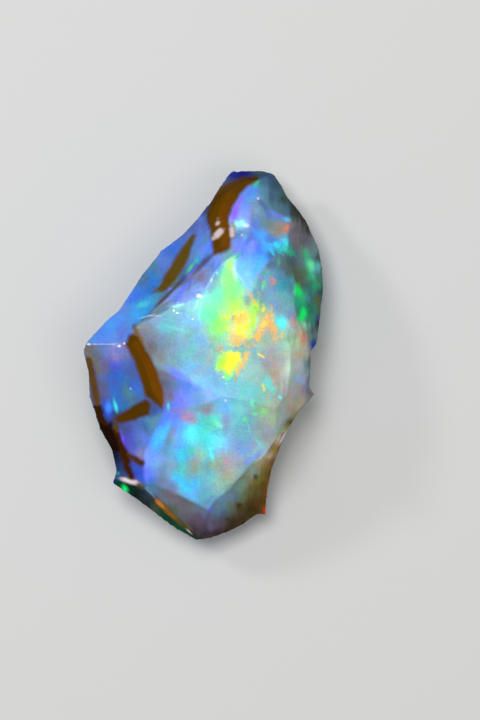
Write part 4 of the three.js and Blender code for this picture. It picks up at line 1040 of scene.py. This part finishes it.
@dataclass(frozen=True)
class OpalFinish:
    """Wet, milky opal with its play of colour, and the brown ironstone skin that grew on it.

    body_share: how much of its colour the body sends back. glow: how strongly its squared colour shines.
    cloud, fleck: how much the coarse and the fine mottling show.
    scatter_share: how much of the light goes into the body. scatter: how far red, green and blue spread
    there, as shares of scatter_depth in millimetres.
    streak_turn, streak_scale: how the noise of feathered rims is drawn out.
    milk, fire: the colours of the flanks' pale body and of their flashes. cell_scale, cell_bend,
    cell_fray: how small those flashes are, how far they are bent and how ragged their rims are.
    foot: the heights at which the amber foot ends and is full. foot_fray: how far they stray.
    skin_rim: the distances at which the skin ends and is full. skin_fray: how far they stray.
    roughness, skin_roughness: the least roughness of the opal and of the skin, and how much pits add.
    """

    body_share: float = 0.9
    glow: float = 0.42
    cloud: float = 0.35
    fleck: float = 0.3
    scatter_share: float = 0.35
    scatter: Triple = (1.0, 0.65, 0.45)
    scatter_depth: float = 0.7
    streak_turn: float = 10.0
    streak_scale: Triple = (3.6, 0.8, 1.0)
    milk: tuple[tuple[float, Hue], ...] = ((0.3, Hue.STEEL), (0.5, Hue.MIST), (0.7, Hue.MAUVE))
    fire: tuple[tuple[float, Hue], ...] = (
        (0.0, Hue.GRAPE), (0.18, Hue.COBALT), (0.38, Hue.AZURE), (0.55, Hue.TURQUOISE),
        (0.72, Hue.JADE), (0.86, Hue.SPRING), (0.95, Hue.APRICOT),
    )
    cell_scale: float = 0.42
    cell_bend: float = 2.4
    cell_fray: float = 0.7
    foot: tuple[float, float] = (2.4, 0.2)
    foot_fray: float = 3.0
    skin_rim: tuple[float, float] = (0.2, -0.16)
    skin_fray: float = 0.22
    roughness: tuple[float, float] = (0.1, 0.22)
    skin_roughness: tuple[float, float] = (0.15, 0.2)
    name: str = "milky_opal"

    def build(self) -> bpy.types.Material:
        """Builds the material.

        Returns:
            The material for the stone.
        """
        bench = NodeBench(self.name)
        place = bench.product(bench.node("TexCoord").outputs["Object"], (1 / MM,) * 3)
        plan = bench.product(place, (1.0, 1.0, 0.0))
        shreds = self._shreds(bench, place)
        above = self._on_top(bench, plan, shreds)
        below = self._on_sides(bench, place)
        upper = Signal(bench, bench.attribute("upper"))
        opal = bench.blend(below, above, bench.step(upper, 0.0, 1.0))
        skin, skin_colour = self._skin(bench, place)
        opal_shader = self._opal_shader(bench, opal, place)
        skin_shader = self._skin_shader(bench, skin_colour, place)
        both = bench.node("MixShader", None, i0=skin, i1=opal_shader, i2=skin_shader)
        return bench.finish(both.outputs[0])

    def _shreds(self, bench: NodeBench, place: Socket) -> dict[Grain, Signal]:
        """Makes the noises that fray the rims of the flashes.

        Args:
            bench: the material's bench.
            place: the place on the stone.

        Returns:
            A noise around 0 for each grain.
        """
        streaks = bench.turned(place, self.streak_turn, self.streak_scale)
        shreds = {}
        for grain in Grain:
            fray = grain.value
            vector = streaks if fray.streaked else place
            shreds[grain] = (bench.noise(vector, fray.scale, fray.detail, fray.roughness) - 0.5) * fray.depth
        return shreds

    def _on_top(self, bench: NodeBench, plan: Socket, shreds: dict[Grain, Signal]) -> Socket:
        """Colours the break faces that look up: their body tints with every flash, bruise and painted
        highlight laid over them.

        Args:
            bench: the material's bench.
            plan: the place on the stone with no height.
            shreds: the noise of each grain.

        Returns:
            The colour.
        """
        turns = sorted({flash.turn for flash in FLASHES + BRUISES_AND_GLINTS})
        views = {turn: bench.turned(plan, -turn) for turn in turns}
        colour = bench.attribute("tint", "Color")
        for flash in FLASHES + BRUISES_AND_GLINTS:
            share = self._flash_share(bench, flash, views[flash.turn], shreds[flash.grain])
            colour = bench.blend(colour, flash.hue, share)
        return colour

    @staticmethod
    def _flash_share(bench: NodeBench, flash: Flash, view: Socket, shred: Signal) -> Signal:
        """Works out how much of a flash shows.

        Args:
            bench: the material's bench.
            flash: the flash.
            view: the plan turned to the flash's own axes.
            shred: the noise that frays its rim.

        Returns:
            The share of its hue.
        """
        cos, sin = math.cos(math.radians(flash.turn)), math.sin(math.radians(flash.turn))
        along, across = flash.x * cos + flash.y * sin, flash.y * cos - flash.x * sin
        shrink = (1 / flash.long, 1 / flash.wide, 0.0)
        shift = (-along / flash.long, -across / flash.wide, 0.0)
        reach = bench.length(bench.product_sum(view, shrink, shift))
        fray = flash.grain.value
        return bench.step(reach + shred, fray.outer, fray.inner, flash.strength)

    def _on_sides(self, bench: NodeBench, place: Socket) -> Socket:
        """Colours the flanks and underside: milky opal with broad sleepy flashes and an amber foot.

        Args:
            bench: the material's bench.
            place: the place on the stone.

        Returns:
            The colour.
        """
        warp = bench.coloured_noise(place, scale=0.45, detail=2.0)
        bent = bench.product_sum(warp, (self.cell_bend,) * 3, place)
        cells = bench.node(
            "TexVoronoi", {"feature": "F1"}, Vector=bent, Scale=self.cell_scale, Randomness=0.95
        )
        pick = bench.node("SeparateColor", None, Color=cells.outputs["Color"])
        fire = bench.ramp(Signal(bench, pick.outputs[0]), self.fire)
        lit = Signal(bench, pick.outputs[1])
        milk = bench.ramp(bench.noise(place, scale=0.3, detail=3.0), self.milk)
        milk = bench.blend(milk, bench.attribute("tint", "Color"), 0.5)
        fray = bench.noise(place, scale=2.2, detail=3.0)
        edge = Signal(bench, cells.outputs["Distance"]) + (fray - 0.5) * self.cell_fray
        share = bench.step(edge, start=0.95, full=0.2) * bench.step(lit, start=0.35, full=0.7, top=0.75)
        colour = bench.blend(milk, fire, share)
        height = Signal(bench, bench.node("SeparateXYZ", None, Vector=place).outputs[2])
        foot = bench.step(height + (fray - 0.5) * self.foot_fray, *self.foot, top=0.75)
        return bench.blend(colour, Hue.AMBER, foot)

    def _skin(self, bench: NodeBench, place: Socket) -> tuple[Signal, Socket]:
        """Finds where the ironstone skin shows and colours it.

        Args:
            bench: the material's bench.
            place: the place on the stone.

        Returns:
            The share of skin, and its colour.
        """
        fray = bench.noise(place, scale=1.6, detail=3.0) - 0.5
        depth = Signal(bench, bench.attribute("skin")) + fray * self.skin_fray
        share = bench.step(depth, *self.skin_rim)
        mottle = bench.noise(place, scale=0.8, detail=2.0)
        base = bench.attribute("skin_tint", "Color")
        return share, bench.blend(base, Hue.COCOA, bench.step(mottle, start=0.45, full=0.75, top=0.3))

    def _opal_shader(self, bench: NodeBench, colour: Socket, place: Socket) -> Socket:
        """Makes the milky body under its glassy break surface.

        Args:
            bench: the material's bench.
            colour: the opal's colour.
            place: the place on the stone.

        Returns:
            The shader.
        """
        cloud = bench.coloured_noise(place, scale=0.9, detail=4.0)
        clouded = bench.blend(colour, cloud, self.cloud, "OVERLAY")
        fleck = bench.coloured_noise(place, scale=5.5, detail=3.0)
        clouded = bench.blend(clouded, fleck, self.fleck, "OVERLAY")
        body = bench.product(clouded, (self.body_share,) * 3)
        squared = bench.product(clouded, clouded)
        pits = bench.noise(place, scale=5.0, detail=4.0)
        least, spread = self.roughness
        rough = bench.step(pits, start=0.35, full=0.8) * spread + least
        relief = bench.relief(pits, strength=0.12, depth=0.02)
        # painted glow: the body shines its squared colour by itself, standing in for the light of its play of
        # colour
        made = bench.node(
            "BsdfPrincipled", {"subsurface_method": "RANDOM_WALK"},
            Base_Color=body, Roughness=rough, IOR=1.25, Normal=relief,
            Subsurface_Weight=self.scatter_share, Subsurface_Radius=self.scatter,
            Subsurface_Scale=self.scatter_depth * MM,
            Emission_Color=squared, Emission_Strength=self.glow,
        )
        return made.outputs[0]

    def _skin_shader(self, bench: NodeBench, colour: Socket, place: Socket) -> Socket:
        """Makes the wet brown ironstone.

        Args:
            bench: the material's bench.
            colour: the skin's colour.
            place: the place on the stone.

        Returns:
            The shader.
        """
        pits = bench.noise(place, scale=1.6, detail=3.0)
        relief = bench.relief(pits, strength=0.2, depth=0.05)
        least, spread = self.skin_roughness
        rough = bench.step(pits, start=0.3, full=0.8) * spread + least
        made = bench.node("BsdfPrincipled", None, Base_Color=colour, Roughness=rough, IOR=1.4, Normal=relief)
        return made.outputs[0]


@dataclass(frozen=True)
class FloorFinish:
    """Matt pale card under the stone, paler far away where the lights no longer reach.

    near, far: its colours. reach: the distances in metres between which one turns into the other.
    """

    name: str = "pale_card"
    near: Colour = (0.6, 0.6, 0.59, 1.0)
    far: Colour = (0.97, 0.97, 0.97, 1.0)
    reach: tuple[float, float] = (0.2, 0.9)
    roughness: float = 0.85

    def build(self) -> bpy.types.Material:
        """Builds the material.

        Returns:
            The material for the floor.
        """
        bench = NodeBench(self.name)
        away = bench.length(bench.node("TexCoord").outputs["Object"])
        card = bench.blend(self.near, self.far, bench.step(away, *self.reach))
        made = bench.node(
            "BsdfPrincipled", None, Base_Color=card, Roughness=self.roughness, Specular_IOR_Level=0.0
        )
        return bench.finish(made.outputs[0])


# ------------------------------------------------------------------------------------------
# The stone
# ------------------------------------------------------------------------------------------

# How faintly a facet still colours the places beyond its rim, and the weight that keeps every sum above 0.
BEYOND_WEIGHT = 1e-6
LEAST_WEIGHT = 1e-9

# The distance from the skin that places without any are given.
NO_SKIN = 1.0


@dataclass(frozen=True)
class Chip:
    """A shell-shaped flake struck off a ridge.

    x, y: where. radius: its hollow's. bite: how deep it goes. lean: which way the hollow opens, beside up.
    """

    x: float
    y: float
    radius: float
    bite: float
    lean: tuple[float, float]


@dataclass(frozen=True)
class Relief:
    """One layer of the break relief: how wide and deep its waves are, and how many octaves its noise has."""

    name: str
    size: float
    depth: float
    detail: int


@dataclass
class OpalStone:
    """The stone's finished surface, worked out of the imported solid.

    grain_size: how fine its mesh is. relax_rounds: how often the mesh is evened.
    rubbed: the line of the sharp step under the narrow end's skin. rub_reach, rub_height: how near to
    that line and from what height up the step is rubbed down. rub_rounds: how often.
    ray_height: a height above the whole stone. chips: what is struck off its ridges.
    reliefs: what is pressed into its surface.
    upward: the Z of its normals between which the flanks' look turns into the break faces'.
    narrow_end: where along Y the narrow end begins. steep: the Z of its normals below which low places
    have no skin, before the narrow end and on it. skin_foot: how high the low places reach.
    streak: how the stray of the tints is drawn out.
    flank: over what distance the skin's right side is felt. warmth: how much more red, green and blue
    that side shows. warm_power: how fast this falls off.
    """

    node: str = NODE
    name: str = "opal_stone"
    grain_size: float = 0.127
    relax_rounds: int = 1
    rubbed: Outline = ((0.7, 11.0), (1.2, 11.9), (1.7, 12.4), (2.9, 13.3))
    rub_reach: float = 0.55
    rub_height: float = 5.5
    rub_rounds: int = 40
    ray_height: float = 30.0
    chips: tuple[Chip, ...] = (
        Chip(-1.9, 3.45, 1.2, 0.22, (-0.5, 0.8)),
        Chip(-0.1, 4.7, 1.0, 0.18, (-0.6, 0.6)),
        Chip(-4.5, 2.3, 0.9, 0.14, (-0.5, 0.6)),
        Chip(0.9, 6.0, 1.1, 0.16, (-0.5, 0.4)),
        Chip(1.9, -10.1, 0.9, 0.14, (0.4, -0.6)),
        Chip(4.3, -7.6, 1.1, 0.18, (0.6, -0.5)),
        Chip(-2.4, -10.0, 1.0, 0.13, (-0.2, -0.8)),
        Chip(5.0, 7.4, 0.9, 0.15, (0.5, 0.6)),
        Chip(6.8, 5.0, 1.3, 0.2, (0.9, 0.1)),
        Chip(3.5, 9.4, 0.8, 0.14, (0.2, 0.8)),
        Chip(-6.9, 0.95, 1.0, 0.12, (-0.2, 0.2)),
        Chip(6.4, 1.6, 2.4, 0.16, (0.9, 0.1)),
    )
    reliefs: tuple[Relief, ...] = (Relief("swell", 2.6, 0.09, 2), Relief("ripple", 0.7, 0.03, 1))
    upward: tuple[float, float] = (-0.08, 0.02)
    narrow_end: float = 5.0
    steep: tuple[float, float] = (0.5, -0.1)
    skin_foot: float = 5.4
    streak: tuple[float, float] = (4.0, 0.8)
    flank: float = 0.9
    warmth: Triple = (1.0, 0.4, 0.0)
    warm_power: int = 6
    surface: bpy.types.Object = field(init=False)

    def build(self) -> bpy.types.Object:
        """Builds and dresses the stone.

        Returns:
            The finished piece.
        """
        self.surface = self._merged_copy()
        for chip in self.chips:
            self._strike(chip)
        self._refine()
        self._rub_step()
        for relief in self.reliefs:
            self._press(relief)
        self._write_attributes()
        self.surface.data.materials.clear()
        self.surface.data.materials.append(OpalFinish().build())
        only(self.surface)
        bpy.ops.object.shade_smooth()
        return self.surface

    def _merged_copy(self) -> bpy.types.Object:
        """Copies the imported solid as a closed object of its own.

        Returns:
            The copy.
        """
        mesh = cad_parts[self.node].data.copy()
        stone = bpy.data.objects.new(self.name, mesh)
        mesh.name = self.name
        bpy.context.scene.collection.objects.link(stone)
        only(stone)
        bpy.ops.object.mode_set(mode="EDIT")
        bpy.ops.mesh.select_all(action="SELECT")
        bpy.ops.mesh.remove_doubles(threshold=0.001 * MM)
        bpy.ops.object.mode_set(mode="OBJECT")
        return stone

    def _strike(self, chip: Chip) -> None:
        """Takes one chip off a ridge with a ball-shaped cutter.

        Args:
            chip: the chip.
        """
        above = Vector((chip.x * MM, chip.y * MM, self.ray_height * MM))
        hit, spot, _, _ = self.surface.ray_cast(above, Vector((0, 0, -1)))
        if not hit:
            raise ValueError(f"the chip at {chip.x}, {chip.y} misses the stone")
        outward = Vector((*chip.lean, 1.0)).normalized()
        middle = spot + outward * (chip.radius - chip.bite) * MM
        bpy.ops.object.select_all(action="DESELECT")
        bpy.ops.mesh.primitive_ico_sphere_add(subdivisions=4, radius=chip.radius * MM, location=middle)
        cutter = bpy.context.object
        apply_modifier(self.surface, "BOOLEAN", operation="DIFFERENCE", object=cutter, solver="EXACT")
        bpy.data.objects.remove(cutter)

    def _refine(self) -> None:
        """Remeshes the stone finely and evens it, which takes the knife edge off its ridges."""
        apply_modifier(self.surface, "REMESH", mode="VOXEL", voxel_size=self.grain_size * MM)
        apply_modifier(self.surface, "SMOOTH", factor=0.5, iterations=self.relax_rounds)

    def _rub_step(self) -> None:
        """Rubs down the sharp step under the narrow end's skin."""
        places = self._places()
        near = line_distance(places[:, :2] / MM, self.rubbed) < self.rub_reach
        only(self.surface)
        bpy.ops.object.mode_set(mode="EDIT")
        bpy.ops.mesh.select_mode(type="VERT")
        bpy.ops.mesh.select_all(action="DESELECT")
        bpy.ops.object.mode_set(mode="OBJECT")
        self.surface.data.vertices.foreach_set("select", near & (places[:, 2] > self.rub_height * MM))
        bpy.ops.object.mode_set(mode="EDIT")
        bpy.ops.mesh.vertices_smooth(factor=0.5, repeat=self.rub_rounds)
        bpy.ops.object.mode_set(mode="OBJECT")

    def _press(self, relief: Relief) -> None:
        """Presses a layer of relief into the surface. It only ever goes inwards.

        Args:
            relief: the layer.
        """
        texture = bpy.data.textures.new(relief.name, "CLOUDS")
        texture.noise_scale = relief.size * MM
        texture.noise_depth = relief.detail
        texture.noise_basis = "ORIGINAL_PERLIN"
        strength = relief.depth * MM
        settings = {"texture": texture, "texture_coords": "LOCAL", "strength": strength, "mid_level": 1.0}
        apply_modifier(self.surface, "DISPLACE", **settings)

    def _places(self) -> np.ndarray:
        """Reads where the mesh's points are.

        Returns:
            The points in metres, an (n, 3) array.
        """
        places = np.empty(len(self.surface.data.vertices) * 3)
        self.surface.data.vertices.foreach_get("co", places)
        return places.reshape(-1, 3)

    def _write_attributes(self) -> None:
        """Writes what the finish reads: body tints, where the skin lies, and which side looks up."""
        places = self._places()
        plan = places[:, :2] / MM
        normals = np.array([n.vector.z for n in self.surface.data.vertex_normals])
        self._write_value("upper", smooth_step(*self.upward, normals))
        self._write_colour("tint", self._tints(plan))
        depth, tint = self._skins(plan)
        steep = normals < np.where(plan[:, 1] < self.narrow_end, *self.steep)
        depth[steep & (places[:, 2] < self.skin_foot * MM)] = NO_SKIN
        self._write_value("skin", depth)
        self._write_colour("skin_tint", tint)

    def _tints(self, plan: np.ndarray) -> np.ndarray:
        """Draws the body colours from the facets' own tints, with soft joins along the ridges.

        Args:
            plan: the places, an (n, 2) array.

        Returns:
            The colours, an (n, 3) array.
        """
        strayed = plan + wander(plan, size=1.1, reach=0.3) + wander(plan * self.streak, size=1.0, reach=0.22)
        total = np.zeros((len(plan), 3))
        weight = np.full((len(plan), 1), LEAST_WEIGHT)
        for facet in FACETS.values():
            depth = outline_distance(plan, facet.outline)
            beyond = BEYOND_WEIGHT / (1 + np.maximum(depth, 0) ** 4)
            share = (1 - smooth_step(-facet.soft, facet.soft, depth) + beyond)[:, None]
            total += share * facet.colours_at(strayed)
            weight += share
        return total / weight

    def _skins(self, plan: np.ndarray) -> tuple[np.ndarray, np.ndarray]:
        """Finds how far places are from the skin, and its colour there with its painted highlights.

        Args:
            plan: the places, an (n, 2) array.

        Returns:
            The distances, below 0 on the skin, and the colours, an (n, 3) array.
        """
        depths = np.array([skin.distance(plan) for skin in SKINS])
        nearest = depths.argmin(axis=0)
        depth = depths.min(axis=0)
        hues = np.array([skin.hue.linear for skin in SKINS])[nearest]
        ruddy = np.array([skin.ruddy for skin in SKINS])[nearest][:, None]
        right = np.min([skin.distance(plan + (self.flank, 0.0)) for skin in SKINS], axis=0)
        side = np.clip((right - depth) / self.flank, 0, 1)[:, None]
        warm = ruddy * side ** self.warm_power * self.warmth
        strayed = plan + wander(plan, size=1.6, reach=0.12) + wander(plan, size=4.5, reach=0.1)
        # painted highlights: pale glints on the wet skin, which also let the skin show there
        glint_distance = np.min([line_distance(strayed, line) - half_width for line, half_width in SKIN_GLINTS], axis=0)
        glint_share = (1 - smooth_step(*SKIN_GLINT_RIM, glint_distance))[:, None]
        hues = hues * (1 + warm) * (1 - glint_share) + np.array(Hue.SHELL.linear) * glint_share
        return np.minimum(depth, glint_distance), hues

    def _write_value(self, name: str, values: np.ndarray) -> None:
        """Stores one number for each point of the mesh."""
        layer = self.surface.data.attributes.new(name, "FLOAT", "POINT")
        layer.data.foreach_set("value", values.astype(np.float32))

    def _write_colour(self, name: str, values: np.ndarray) -> None:
        """Stores one colour for each point of the mesh.

        Args:
            name: the attribute's name.
            values: the colours, an (n, 3) array.
        """
        layer = self.surface.data.attributes.new(name, "FLOAT_COLOR", "POINT")
        rgba = np.concatenate([values, np.ones((len(values), 1))], axis=1)
        layer.data.foreach_set("color", rgba.astype(np.float32).ravel())


# ------------------------------------------------------------------------------------------
# The studio
# ------------------------------------------------------------------------------------------


@dataclass(frozen=True)
class Softbox:
    """A soft light: its place and size in millimetres, its power in watts, and if its reflection shows."""

    name: str
    place: Triple
    size: float
    power: float
    mirrored: bool


@dataclass
class Studio:
    """Pale floor, soft lights and the camera that looks straight down on the stone.

    frame_height: how much the camera sees at the height of its aim. lens, sensor, clip: the camera's own
    settings in millimetres. sky: the colour of the even light all round.
    """

    frame_height: float = 54.0
    aim: Triple = (2.74, -0.34, 8.0)
    lens: float = 300.0
    sensor: float = 36.0
    clip: tuple[float, float] = (10.0, 10000.0)
    floor_size: float = 3000.0
    sky: Colour = (0.80, 0.81, 0.83, 1.0)
    sky_strength: float = 0.3
    softboxes: tuple[Softbox, ...] = (
        Softbox("key", (-60.0, 90.0, 400.0), 160.0, 1.15, False),
        Softbox("fill", (120.0, -60.0, 380.0), 220.0, 0.3, False),
        Softbox("glint", (-190.0, 120.0, 190.0), 40.0, 0.16, True),
    )

    def build(self) -> None:
        """Sets up the floor, the sky, the lights and the camera."""
        self._lay_floor()
        self._light_sky()
        for softbox in self.softboxes:
            self._hang(softbox)
        self._place_camera()

    def _lay_floor(self) -> None:
        """Lays the floor at the height the stone lies on."""
        bpy.ops.object.select_all(action="DESELECT")
        bpy.ops.mesh.primitive_plane_add(size=self.floor_size * MM, location=(0, 0, CAD_BOX[0].z))
        floor = bpy.context.object
        floor.name = "floor"
        floor.data.materials.append(FloorFinish().build())
        floor.visible_glossy = False

    def _light_sky(self) -> None:
        """Gives the room a pale even light."""
        world = bpy.data.worlds.new("room")
        world.use_nodes = True
        background = world.node_tree.nodes["Background"]
        background.inputs["Color"].default_value = self.sky
        background.inputs["Strength"].default_value = self.sky_strength
        world.cycles_visibility.glossy = False
        bpy.context.scene.world = world
        bpy.context.scene.view_settings.view_transform = "Standard"

    @staticmethod
    def _hang(softbox: Softbox) -> None:
        """Hangs one light, aimed at the stone.

        Args:
            softbox: the light.
        """
        bpy.ops.object.light_add(type="AREA", location=[v * MM for v in softbox.place])
        lamp = bpy.context.object
        lamp.name = softbox.name
        lamp.data.size = softbox.size * MM
        lamp.data.energy = softbox.power
        lamp.rotation_euler = (-Vector(softbox.place)).to_track_quat("-Z", "Y").to_euler()
        lamp.visible_glossy = softbox.mirrored

    def _place_camera(self) -> None:
        """Places the camera so that the frame is as tall as asked at the height of its aim."""
        distance = self.frame_height * self.lens / self.sensor
        x, y, z = self.aim
        bpy.ops.object.camera_add(location=(x * MM, y * MM, (z + distance) * MM), rotation=(0, 0, 0))
        camera = bpy.context.object
        camera.name = "camera"
        camera.data.lens = self.lens
        camera.data.sensor_width = self.sensor
        nearest, farthest = self.clip
        camera.data.clip_start = nearest * MM
        camera.data.clip_end = farthest * MM
        bpy.context.scene.camera = camera


# ------------------------------------------------------------------------------------------
# Handing over
# ------------------------------------------------------------------------------------------


def main() -> None:
    """Builds the studio and the stone, and tells the frame what stands for what."""
    logging.basicConfig(level=logging.INFO, format="%(name)s: %(message)s")
    Studio().build()
    stone = OpalStone().build()
    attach(stone, "root")
    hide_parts(NODE)
    log.info("%s: %d faces, %d flashes", stone.name, len(stone.data.polygons), len(FLASHES))


if __name__ == "__main__":
    main()
